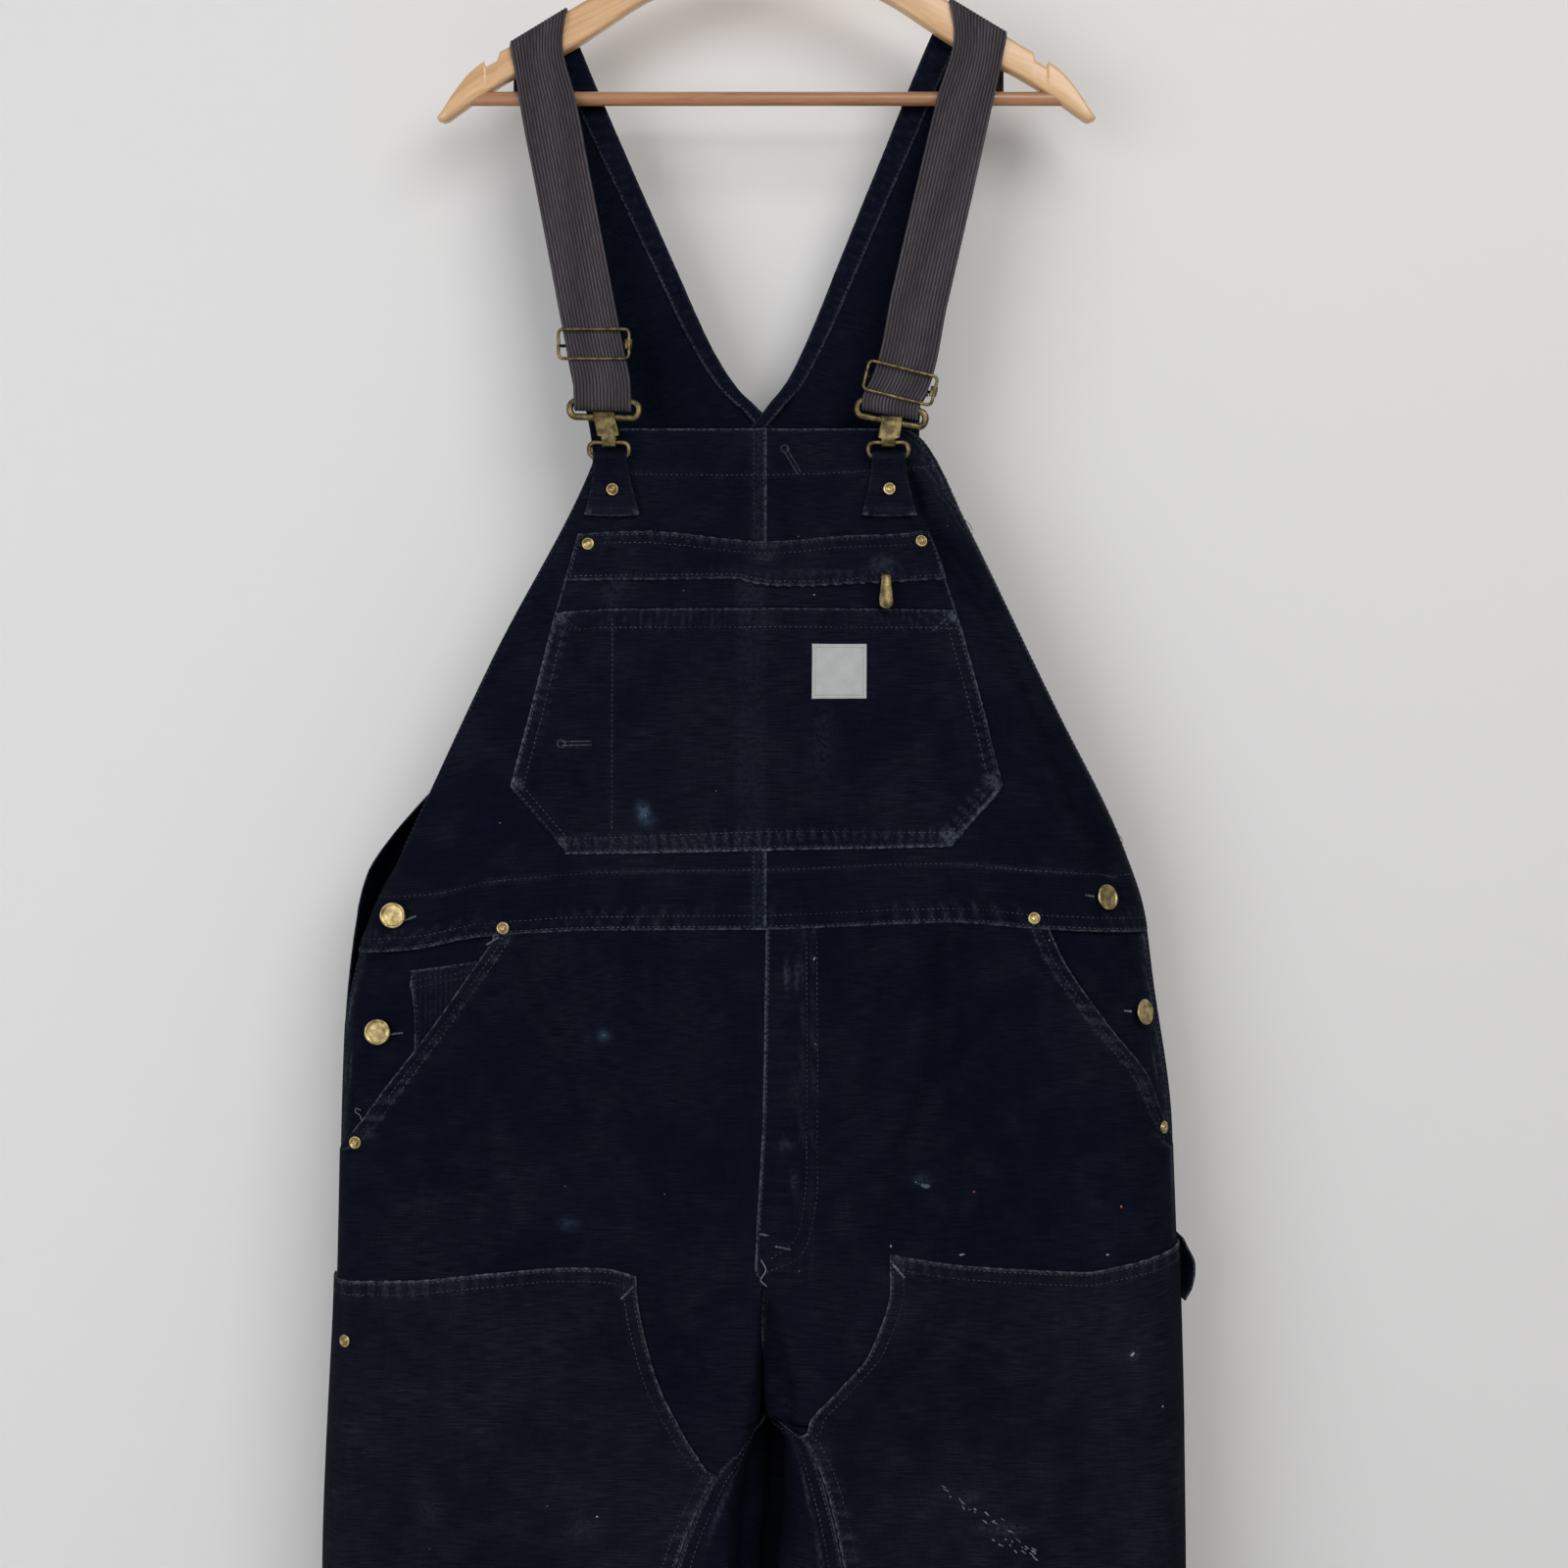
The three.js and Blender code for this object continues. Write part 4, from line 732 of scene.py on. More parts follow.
# ------------------------------------------------------------------ chest pocket
# A six-sided patch pocket whose zip opens under a flap. Its folded hems are sewn down with two rows, which
# draw the duck into ribs, and the folds are rubbed pale.
POCKET_TOP, FLAP_FOOT, PATCH_TOP, PATCH_CORNER, PATCH_FOOT, CUT_CORNER = -499, -531, -551, -670, -713, 37
PATCH_THICK = 1.3
pocket_left = curve([(POCKET_TOP, -126), (PATCH_TOP, -141), (PATCH_CORNER, -171)])
pocket_right = curve([(POCKET_TOP, 108.5), (PATCH_TOP, 127.5), (PATCH_CORNER, 159)])
flap_edge = curve([(131, -532), (60, -531), (20, -530.5), (8, -534), (-10, -536), (-60, -534), (-118, -531)])
patch_top_edge = curve([(141, -553), (100, -550.5), (0, -550), (-128, -551)])
patch_foot_edge = curve([(134, -715), (60, -714), (-20, -712), (-60, -711.5), (-121, -710)])


def patch_grid(left, right, top, foot, wide, tall, step=2.8):
    """A grid over part of the front, between edges given as functions of the height and the place across."""
    across, down = steps(wide, step), steps(tall, step)
    x = np.zeros((len(down), len(across)))
    z = np.repeat((top(0) + (foot(0) - top(0)) * down)[:, None], len(across), 1)
    for _ in range(8):
        x = left(z) + (right(z) - left(z)) * across
        z = top(x) + (foot(x) - top(x)) * down[:, None]
    return x, z


def cut_corner(z):
    return unit((PATCH_CORNER - z) / (PATCH_CORNER - PATCH_FOOT)) * CUT_CORNER


def pocket_patch():
    x, z = patch_grid(lambda z: pocket_left(z) + cut_corner(z), lambda z: pocket_right(z) - cut_corner(z),
                      lambda x: patch_top_edge(-x), lambda x: patch_foot_edge(-x), 300, 162, 2.4)
    points = lie_on(FRONT, x, z)
    _, _, top, foot = from_edges(points)
    outline = [(-141, -552), (-171, -671), (-134, -715), (121, -710), (159, -668), (128, -550)]
    away, way = nearest(outline, x, z)
    away = abs(away)
    rise, rubbed = hem(away, way, 12, 7.2, 0.42, 0.7)
    ticks = unit(np.sin(x / 1.15 + 1.5 * np.sin(x / 9))) * bell(foot - 10, 4)
    top_rise, top_rubbed = hem(top, x, 15, 5.2, 0.22, 1.9)
    seam = unit((11 - abs(x + 10)) / 3)
    points[..., 1] -= rise + top_rise + 0.55 * seam + 0.45 * unit((16 - top) / 3)
    corners = [(-167, -668), (-137, -708), (121, -702), (152, -667), (-138, -556), (127, -556)]
    wear = rubbed + 0.6 * top_rubbed + 0.16 * ticks + 0.03 * seam + 0.04 * bell(x + 103, 1.1)
    for corner_x, corner_z in corners:
        wear += 0.5 * bell(np.hypot(x - corner_x, z - corner_z), 3.6)
    wear += 0.05 * bell(x - 37, 9) * bell(z + 640, 24)
    stain = weigh(points, [(-82, -686, 3.5, 4.5, 0.22), (-80, -692, 5, 5, 0.07)])
    return cloth_object("pocket_patch", points, (0, -1, 0), LAYER + PATCH_THICK, PATCH_THICK, duck, wear,
                        stain)


def pocket_band():
    """The strip below the zip, between the flap and the patch."""
    x, z = patch_grid(pocket_left, pocket_right, lambda x: 0 * x + FLAP_FOOT + 9,
                      lambda x: patch_top_edge(-x) + 0.3,
                      265, 30)
    points = lie_on(FRONT, x, z)
    left, right, _, _ = from_edges(points)
    wear = 0.5 * bell(left, 1) + 0.5 * bell(right, 1)
    wear += 0.05 * unit((11 - abs(x + 10)) / 3) + 0.05 * bell(x + 104, 9)
    return cloth_object("pocket_zip_band", points, (0, -1, 0), LAYER + PATCH_THICK - 0.3, PATCH_THICK, duck,
                        wear)


def pocket_flap():
    top_line = curve([(124, -500), (80, -498), (2, -505), (-60, -501), (-108, -499)])
    x, z = patch_grid(pocket_left, pocket_right, lambda x: top_line(-x), lambda x: flap_edge(-x), 245, 32,
                      2.2)
    points = lie_on(FRONT, x, z)
    left, right, top, foot = from_edges(points)
    rise, rubbed = hem(foot, x, 9, 8.0, 0.25, 0.3)
    top_rise, top_rubbed = hem(top, x, 6, 9.0, 0.12, 1.3)
    wave = 0.9 * bell(x - 4, 22) * unit((12 - foot) / 12)
    over_slider = 2.6 * bell(x - 79, 8) * bell(z + 522, 7)
    points[..., 1] -= rise + top_rise + wave + over_slider
    wear = 0.62 * rubbed + 0.6 * top_rubbed + 0.05 * over_slider
    wear = wear + 0.45 * bell(left, 1) + 0.5 * bell(right, 1)
    wear += 0.13 * bell(x + 1, 9) * (bell(z + 516, 2.6) + bell(top - 3, 2))
    wear += 0.08 * bell(x - 32, 28) * bell(z + 526, 1.6)
    lift = 2 * LAYER + 2 * PATCH_THICK
    return cloth_object("pocket_zip_flap", points, (0, -1, 0), lift, PATCH_THICK, duck, wear)


for piece, node, flat, area in (
        (pocket_patch(), "bib_pocket_patch", (0.34, 0.17), 0.050),
        (pocket_band(), "bib_pocket_zip_band", (0.275, 0.032), 0.0078),
        (pocket_flap(), "bib_pocket_zip_flap", (0.26, 0.035), 0.0082)):
    hang(piece, "duck_canvas", node)

# ------------------------------------------------------------------ fronts of the trousers
# One front a leg. Its upper corner is cut away along the slanted pocket opening, whose edge is hemmed with
# two rows of stitches. The left front laps over the right one at the fly.
slant_x = {
    RIGHT: curve([(-768, -181), (-783, -191.5), (-841, -233), (-894, -271), (-911, -286)]),
    LEFT: curve([(-762, 188), (-785, 198.5), (-830, 230), (-863, 256), (-892, 268), (-911, 277)]),
}
fly_x = curve([(-760, 0), (-885, -2), (-960, -6), (-1000, -8)])
POCKET_FOOT = -911
SEAM_LAP = 5  # how far the fronts run on under the bib's foot


def seam_share(side, z):
    """The share of the front at which the inseam lies; above the crotch it is the centre seam."""
    return np.where(z > CROTCH, 1.0, np.minimum(0.999, share_at(side, FRONT, inseam_x[side](z), z)))


def leg_rows(top, foot, step, below):
    """Heights of a grid's rows on a leg, from close ones above to wide ones below."""
    return np.r_[rows_between(top, LEG_TURN, step)[:-3], np.linspace(LEG_TURN - 6, foot + 2.5, below),
                 foot + 0.8, foot]


def seat_to_waist(z, x):
    """Raises the rows near the waist to follow the dip of the waist seam."""
    return z + (waist_seam(x) - WAIST) * unit((z + 870) / (WAIST + 870))


def trouser_front(side):
    rows = leg_rows(WAIST + SEAM_LAP, HEM, 3.5, 54)
    u = steps(285, 3.4)
    z = np.repeat(rows[:, None], len(u), 1)
    start = np.where(z > POCKET_FOOT, share_at(side, FRONT, slant_x[side](z), z), 0.0004)
    s = start + (seam_share(side, z) - start) * u
    for _ in range(3):
        points = form(side, s, z)
        z = seat_to_waist(rows[:, None] + 0 * s, points[..., 0])
    points = form(side, s, z)
    x, z = points[..., 0], points[..., 2]
    left, right, _, foot = from_edges(points)
    slant = left + 40 * unit((-906 - z) / 8)
    rise, rubbed = hem(slant, z * 1.25, 12.5, 6.2, 0.42, 1.1 * side)
    opening = unit((z - POCKET_FOOT) / 12)
    points[..., 1] -= (rise + 0.5 * unit((13 - slant) / 3)) * opening
    gape = 2.0 * bell(slant, 8) * bell(z + 835, 42) * opening
    points[..., 1] -= gape
    ticks = unit(np.sin(z * 1.25 / 1.1 + 1.5 * np.sin(z / 9))) * opening
    wear = rubbed * opening + 0.20 * ticks * bell(slant - 11, 2.4)
    turned_edge = left - (14 if side == RIGHT else 17)  # the outseam rolls a little to the front
    beat = 0.5 + 0.5 * np.sin(z / 1.4 + np.sin(z / 17))
    wear += (1 - opening) * (0.40 * bell(turned_edge, 0.9)
                             + 0.14 * beat * bell(turned_edge - 4, 3))
    flap = unit((z + 1004) / 14)
    if side == RIGHT:  # its centre edge runs on under the fly
        lap = bell(right, 12) * flap
        points[..., 0] += 6.5 * lap
        points[..., 1] += 0.5 * lap
    else:
        lap = right
        shift = (fly_x(z) - (CENTRE + SEAM / 2)) * bell(lap, 20) * flap
        points[..., 0] += shift
        ribs = np.sin(z / 1.42 + 2.2 * np.sin(z / 16)) * unit(lap / 4) * unit((26 - lap) / 6)
        points[..., 1] -= flap * (1.7 * unit((34 - lap) / 8) * np.clip((z + 985) / -30 + 1.2, 0.2, 1)
                                  + 0.07 * ribs)
        wear += flap * (0.75 * bell(lap, 1.1) + 0.02 * unit(ribs))
        wear += 0.09 * flap * (bell(lap - 27, 1.0) + bell(lap - 34, 1.0))
        wear += 0.26 * (bell(x - 14, 1.3) + bell(x - 21, 1.3)) * bell(z + 795, 9)
        wear += weigh(points, [(17.8, -932, 1.2, 7, 0.22), (13, -908, 4, 4, 0.12), (20, -870, 5, 12, 0.05)])
    below = unit((-1000 - z) / 20)
    wear += below * 0.5 * bell(right, 1.2)
    hem_rise, hem_rubbed = hem(foot, x, 14, 9.0, 0.5, side)
    points[..., 1] -= hem_rise
    wear += hem_rubbed
    marks = {
        RIGHT: [(-108, -835.5, 4.0, 3.5, 0.10), (-131, -960, 6, 3.5, 0.06)],
        LEFT: [(104, -931.5, 5, 3.5, 0.06)],
    }
    return cloth_object(f"trouser_front_piece_{side_name[side]}", points, (0, -1, 0), 0, CLOTH, duck, wear,
                        weigh(points, marks[side]))


for side in (RIGHT, LEFT):
    piece = hang(trouser_front(side), "duck_canvas", f"trouser_front_{side_name[side]}")

# ------------------------------------------------------------------ pocket facings and coin pocket
# Behind each slanted opening lies the facing with the lower side button. The right one carries a coin pocket
# whose duck is cut with its ribs upright.
COIN_THICK = 1.2
FACING_TOP = -(CLOTH + 0.6 + COIN_THICK)


def pocket_facing(side):
    rows = rows_between(WAIST + SEAM_LAP, -922, 3.2)
    u = steps(90, 3.0)
    z = np.repeat(rows[:, None], len(u), 1)
    reach = share_at(side, FRONT, slant_x[side](z) - side * 15, z)
    s = 0.001 + (reach - 0.001) * u
    points = form(side, s, z)
    points = form(side, s, seat_to_waist(z, points[..., 0]))
    left = from_edges(points)[0]
    z = points[..., 2]
    sag = bell(left - 34, 16) * bell(z + 800, 40)
    points[..., 1] += 1.4 * sag
    beat = 0.5 + 0.5 * np.sin(z / 1.6 + 2 * np.sin(z / 19))
    turned_edge = left - 13
    wear = 0.35 * bell(turned_edge, 1.0) + 0.16 * beat * bell(turned_edge - 4, 3)
    wear += 0.3 * bell(turned_edge - 13, 1.5) * bell(z + 857, 12)
    sunk = FACING_TOP * unit((left - 2) / 15)[..., None]  # its outer edge is sewn into the outseam
    return cloth_object(f"pocket_facing_piece_{side_name[side]}", points, (0, -1, 0), sunk, CLOTH, duck,
                        wear)


def coin_pocket():
    left_edge = curve([(-785, -238), (-900, -229)])
    x, z = patch_grid(left_edge, lambda z: slant_x[RIGHT](z) + 9, lambda x: -792.5 + (x + 238) * 0.134,
                      lambda x: 0 * x - 858, 50, 66, 1.6)
    points = lie_on(FRONT, x, z)
    left, _, top, _ = from_edges(points)
    rise, rubbed = hem(top, x, 13, 2.6, 0.30, 0.5)
    points[..., 1] -= rise + 0.16 * np.sin(x / 0.55)
    wear = 0.7 * rubbed + 0.5 * bell(left, 0.9) + 0.05 * (0.5 + 0.5 * np.sin(x / 0.55))
    return cloth_object("coin_pocket_piece", points, (0, -1, 0), -CLOTH - 0.35, COIN_THICK, duck, wear)


for side in (RIGHT, LEFT):
    piece = hang(pocket_facing(side), "duck_canvas", f"pocket_facing_{side_name[side]}")
piece = hang(coin_pocket(), "duck_canvas", "coin_pocket")

# ------------------------------------------------------------------ doubled knees
# A second layer of duck on the front of each leg, from mid thigh to shin, sewn with two rows along its
# folded edges. Its upper inner corner is cut in a curve that meets the inseam.
knee_x = {
    RIGHT: curve([(-996, -86), (-1010, -85), (-1036, -80), (-1067, -71), (-1097, -56), (-1127, -38)]),
    LEFT: curve([(-980, 83), (-1014, 81), (-1044, 69), (-1074, 43), (-1090, 29), (-1098, 27)]),
}
knee_meets = {RIGHT: -1127, LEFT: -1098}
knee_top = {
    RIGHT: curve([(-86, -994), (-108, -989), (-135, -988), (-184, -992), (-241, -997.5), (-285, -998)]),
    LEFT: curve([(-83, -980.5), (-137, -988), (-212, -991.5), (-240, -986.5), (-278, -978.5)]),
}
KNEE_LIFT = 0.5
KNEE_TOP, KNEE_EASE = -998, 49  # a level top, and how far below it the rows ease over to the curved one


def knee_patch(side):
    upper = rows_between(KNEE_TOP, LEG_TURN, 3.0)[:-3]
    lower = np.linspace(LEG_TURN - 6, KNEE_PATCH_FOOT + 3, 40)
    rows = np.r_[upper, lower, KNEE_PATCH_FOOT + 1, KNEE_PATCH_FOOT]
    u = steps(240, 3.2)
    z = np.repeat(rows[:, None], len(u), 1)
    edge = np.where(z > knee_meets[side], knee_x[side](z), inseam_x[side](z) + side * 2.5)
    s = 0.008 + (share_at(side, FRONT, edge, z) - 0.008) * u
    for _ in range(3):
        points = form(side, s, z)
        climb = unit((rows[:, None] - KNEE_TOP + KNEE_EASE) / KNEE_EASE)
        z = rows[:, None] + (knee_top[side](-abs(points[..., 0])) - KNEE_TOP) * climb
    points = form(side, s, z)
    x, z = points[..., 0], points[..., 2]
    left, right, top, foot = from_edges(points)
    top_rise, top_rubbed = hem(top, x, 11, 8.5, 0.36, 0.4)
    edge_rise, edge_rubbed = hem(right, z, 11, 8.0, 0.34, 2.1)
    foot_rise, foot_rubbed = hem(foot, x, 11, 9.0, 0.36, 1.4)
    points[..., 1] -= top_rise + edge_rise + foot_rise
    beat = 0.5 + 0.5 * np.sin(z / 2.0 + 2 * np.sin(z / 21))
    wear = top_rubbed + edge_rubbed + foot_rubbed + 0.35 * bell(left, 2.2) * beat
    rubs = {
        RIGHT: [(-122, -1162, 12, 7, 0.08), (-225, -1152, 8, 12, 0.07)],
        LEFT: [(157, -1160, 17, 4, 0.18), (135, -1140, 8, 5, 0.08), (243, -1046, 4, 5, 0.18)],
    }
    wear += weigh(points, rubs[side]) + weigh(points, [(side * 165, -1370, 80, 120, 0.06)])
    return cloth_object(f"knee_patch_piece_{side_name[side]}", points, (0, -1, 0), KNEE_LIFT + CLOTH, CLOTH,
                        duck_knee,
                        wear)


duck_knee = duck_material("duck of the knees", (0.0030, 0.0038, 0.0084), (0.0090, 0.0094, 0.0145),
                          (0.085, 0.100, 0.132), 0.55)
for side in (RIGHT, LEFT):
    piece = hang(knee_patch(side), "duck_canvas", f"knee_patch_{side_name[side]}")

# ------------------------------------------------------------------ seat and backs of the legs
# One back a leg, from the waist seam to the hem. It turns round the inside of the leg to the inseam on the
# front, and the two backs meet in the centre seam of the seat.


def trouser_back(side):
    rows = leg_rows(WAIST, HEM, 4.2, 52)
    turn = np.r_[0, 0.7 / 60, 2 / 60, np.linspace(0.05, 0.985, 34)]
    start = np.where(rows > CROTCH, 1 + 1e-5, seam_share(side, rows) - 0.006)
    inner = start[:, None] + (1.14 - start[:, None]) * turn
    outer = 1.14 + (0.86 - 1e-5) * steps(300, 4.4)[3:]
    s = np.concatenate([inner, np.broadcast_to(outer, (len(rows), len(outer)))], axis=1)
    points = form(side, s, np.broadcast_to(rows[:, None], s.shape))
    z = points[..., 2]
    inner_way, outer_way, _, foot = from_edges(points)
    seam = bell(inner_way, 7.5) * unit((z - CROTCH) / 10)
    points[..., 1] += 0.8 * seam
    if side == RIGHT:  # its centre edge runs on inside the left one's
        lap = unit(1 - inner_way / 8) * unit((z - CROTCH + 10) / 10)
        points[..., 0] += 6 * lap
        points[..., 1] -= 2 * lap
    hem_rise, hem_rubbed = hem(foot, points[..., 0], 14, 9.0, 0.4, 3 + side)
    points[..., 1] += hem_rise
    beat = 0.5 + 0.5 * np.sin(z / 2.0 + 2 * np.sin(z / 21))
    wear = hem_rubbed + 0.4 * bell(outer_way, 1.4) * beat + 0.2 * bell(inner_way - 14, 1)
    wear += 0.35 * bell(inner_way, 1.2) + weigh(points, [(side * 120, -940, 70, 60, 0.06)])
    return cloth_object(f"trouser_back_piece_{side_name[side]}", points, (0, 1, 0), -0.1, CLOTH, duck, wear)


for side in (RIGHT, LEFT):
    piece = hang(trouser_back(side), "duck_canvas", f"trouser_back_{side_name[side]}")

# ------------------------------------------------------------------ side pockets and hammer loop
# A narrow patch pocket behind each outseam at the thigh, and a loop of folded duck above the left one.


def side_pocket(side, top, foot):
    rows, u = rows_between(top, foot, 3.4), steps(100, 3.2)
    z = np.repeat(rows[:, None], len(u), 1)
    s = 1.62 + 0.372 * np.broadcast_to(u, z.shape)
    points = form(side, s, z)
    left, right, top_way, foot_way = from_edges(points)
    border = np.minimum(np.minimum(left, right), foot_way)
    rise, rubbed = hem(border, points[..., 2] + points[..., 0], 10, 7.5, 0.34, side)
    top_rise, top_rubbed = hem(top_way, points[..., 0], 16, 6.0, 0.22, 2 * side)
    points[..., 1] += rise + top_rise
    points[..., 0] += side * 1.1 * bell(right, 12) * bell(top_way, 10)
    wear = rubbed + top_rubbed
    return cloth_object(f"side_pocket_piece_{side_name[side]}", points, (0, 1, 0), 0.5 + PATCH_THICK,
                        PATCH_THICK, duck,
                        wear)


def hammer_loop():
    stops = [(-976, 0.05), (-984, 0.50), (-992, 1.0), (-1001, 1.0), (-1011, 0.70), (-1019, 0.10)]
    z = np.interp(np.linspace(0, 5, 46), range(6), [stop[0] for stop in stops])
    out = np.interp(np.linspace(0, 5, 46), range(6), [stop[1] for stop in stops])
    out = np.convolve(np.pad(out, 3, mode="edge"), np.ones(7) / 7, "valid")
    y = -9 + 22 * steps(22, 1.8, (0.6, 1.4))
    grid_z, grid_y = np.meshgrid(z, y, indexing="ij")
    x = side_x[LEFT][BACK](grid_z) + 2.4 + 8.6 * out[:, None] * (1 - 0.9 * (grid_y + 9) / 22)
    points = np.stack([x, grid_y, grid_z], -1)
    left, right, _, _ = from_edges(points)
    wear = 0.7 * bell(left, 1.2) + 0.7 * bell(right, 1.2) + 0.2 * out[:, None]
    return cloth_object("hammer_loop_piece", points, (1, 0, 0), 0.6, 1.6, duck, wear)


for side, top, foot in ((RIGHT, -1030, -1250), (LEFT, -1030, -1215)):
    piece = hang(side_pocket(side, top, foot), "duck_canvas", f"side_pocket_{side_name[side]}")
piece = hang(hammer_loop(), "duck_canvas", "hammer_loop")

# ------------------------------------------------------------------ label
# A plain woven patch, sewn down round its edge.


def plain_weave(name, color, depth, scale, roughness):
    """A closely woven cloth of one colour."""
    material, tree = new_material(name)
    cloth = cloth_place(tree)
    woven = math_node(tree, "MULTIPLY", *(threads(tree, cloth, way, scale, 1.5) for way in "XY"))
    tint = spread(tree, math_node(tree, "MULTIPLY_ADD", woven, 0.35, noise(tree, cloth, 90.0, 4.0)), 0.3,
                  0.9)
    low = tuple(value * (1 - depth) for value in color)
    return finish(material, Base_Color=blend(tree, tint, (*low, 1), (*color, 1)), Roughness=roughness,
                  Normal=bumped(tree, woven, 0.5, 0.0003))


label_cloth = plain_weave("label weave", (0.37, 0.39, 0.385), 0.22, 420.0, 0.8)
x, z = patch_grid(lambda z: 0 * z + 30.6, lambda z: 0 * z + 67.4, lambda x: 0 * x - 574.2,
                  lambda x: 0 * x - 611,
                  37, 37, 1.4)
points = lie_on(FRONT, x, z)
left, right, top, foot = from_edges(points)
border = np.minimum(np.minimum(left, right), np.minimum(top, foot))
points[..., 1] += 0.35 * bell(border - 2.2, 0.9) - 0.25
piece = hang(cloth_object("label_patch", points, (0, -1, 0), 3.0, 0.8, label_cloth), "label_cloth",
             "bib_label")

# ------------------------------------------------------------------ rings and tabs
# Bent brass rings hang at the bib's top corners in tabs of folded duck, which are riveted on.


def loft(name, rings, material, closed=False):
    """A closed skin over a row of rings of points, with its ends capped unless the row is closed."""
    rings = np.array(rings, float)
    count, around = rings.shape[:2]
    ids = np.arange(count * around).reshape(count, around)
    if closed:
        ids = np.concatenate([ids, ids[:1]])
    next_ids = np.roll(ids, -1, axis=1)
    quads = np.stack([ids[:-1], next_ids[:-1], next_ids[1:], ids[1:]], -1).reshape(-1, 4)
    points = rings.reshape(-1, 3)
    cross = np.cross(points[quads[:, 1]] - points[quads[:, 0]], points[quads[:, 3]] - points[quads[:, 0]])
    inside_out = np.sum((points[quads[:, 0]] - points.mean(axis=0)) * cross) < 0
    faces = [list(quad) for quad in quads]
    if not closed:
        faces += [list(ids[0][::-1]), list(ids[-1])]
    if inside_out:
        faces = [face[::-1] for face in faces]
    mesh = bpy.data.meshes.new(name)
    mesh.from_pydata((points * MM).tolist(), [], faces)
    mesh.polygons.foreach_set("use_smooth", [len(face) == 4 for face in faces])
    walk = np.cumsum(np.r_[0, np.linalg.norm(np.diff(rings.mean(axis=1), axis=0), axis=1)]) * MM
    place = np.stack([np.tile(np.linspace(0, 0.03, around), count), np.repeat(walk, around)], -1)
    corners = [corner for face in faces for corner in face]
    mesh.uv_layers.new(name="cloth").data.foreach_set("uv", place[corners].ravel())
    mesh.materials.append(material)
    return put(name, mesh)


def tube(name, path, radius, material, closed=False, sides=12, up=(0, 1, 0)):
    """A round bar along a path that never runs along up, with rounded ends."""
    path = np.array(path, float)
    if closed:
        run = np.roll(path, -1, axis=0) - np.roll(path, 1, axis=0)
    else:
        first, last = path[0] - path[1], path[-1] - path[-2]
        first, last = first / np.linalg.norm(first), last / np.linalg.norm(last)
        caps = [(0.98, 0.25), (0.75, 0.66), (0.4, 0.92)]
        path = np.concatenate([[path[0] + first * radius * reach for reach, _ in caps], path,
                               [path[-1] + last * radius * reach for reach, _ in caps[::-1]]])
        run = np.gradient(path, axis=0)
    run /= np.linalg.norm(run, axis=1, keepdims=True)
    aside = np.cross(np.array(up, float), run)
    aside /= np.linalg.norm(aside, axis=1, keepdims=True)
    over = np.cross(run, aside)
    size = np.full(len(path), float(radius))
    if not closed:
        size[:3] *= [share for _, share in caps]
        size[-3:] *= [share for _, share in caps[::-1]]
    angle = np.linspace(0, 2 * math.pi, sides, endpoint=False)[None, :, None]
    rings = path[:, None] + size[:, None, None] * (np.cos(angle) * aside[:, None]
                                                   + np.sin(angle) * over[:, None])
    return loft(name, rings, material, closed)


def loop_path(middle, width, height, wire, corner, lean=0.0):
    """The middle line of a wire bent into a rounded rectangle that faces the front."""
    half_wide, half_high = (width - wire) / 2 - corner, (height - wire) / 2 - corner
    line = []
    for sx, sz, start in ((1, 1, 0), (-1, 1, 90), (-1, -1, 180), (1, -1, 270)):
        for turn in range(0, 91, 15):
            angle = math.radians(start + turn)
            line.append((sx * half_wide + corner * math.cos(angle), 0,
                         sz * half_high + corner * math.sin(angle)))
    turned = Matrix.Rotation(-math.radians(lean), 3, "Y")
    return [turned @ Vector(point) + Vector(middle) for point in line]


def metal_material(name, color, dull, polish):
    """A metal with a worn finish: bright where it is rubbed and dull in patches."""
    material, tree = new_material(name)
    cloud, grit = (noise(tree, object_place(tree), *fineness) for fineness in ((240.0, 3.0), (1500.0, 2.0)))
    tint = blend(tree, spread(tree, cloud, 0.38, 0.62), (*dull, 1), (*color, 1))
    rough = spread(tree, grit, 0.3, 0.7, polish, polish + 0.22)
    return finish(material, Base_Color=tint, Metallic=1.0, Roughness=rough,
                  Normal=bumped(tree, grit, 0.25, 0.0002))


def smooth_through(stops, step):
    """Points on a smooth curve through stops, at even steps along it."""
    stops = np.array(stops, float)
    gaps = np.linalg.norm(np.diff(stops, axis=0), axis=1)[:, None]
    slope = np.diff(stops, axis=0) / gaps
    inner = (slope[:-1] * gaps[1:] + slope[1:] * gaps[:-1]) / (gaps[1:] + gaps[:-1])
    tangent = np.concatenate([slope[:1], inner, slope[-1:]])
    walk = np.r_[0, np.cumsum(gaps[:, 0])]
    at = np.linspace(0, walk[-1], max(2, round(walk[-1] / step) + 1))
    i = np.clip(np.searchsorted(walk, at, side="right") - 1, 0, len(gaps) - 1)
    h, t = gaps[i], ((at - walk[i]) / gaps[i, 0])[:, None]
    level = stops[i] * (1 + 2 * t) * (1 - t) ** 2 + stops[i + 1] * t * t * (3 - 2 * t)
    return level + h * t * (1 - t) * (tangent[i] * (1 - t) - tangent[i + 1] * t)


antique_brass = metal_material("antique brass", (0.19, 0.148, 0.068), (0.072, 0.057, 0.030), 0.33)
RING_X = {RIGHT: -105.5, LEFT: 82}
RING_Z, RING_Y, RING_WIRE, RING_HIGH = -443.5, -25, 3.2, 13
TAB_FOOT, TAB_THICK = -487, 1.4


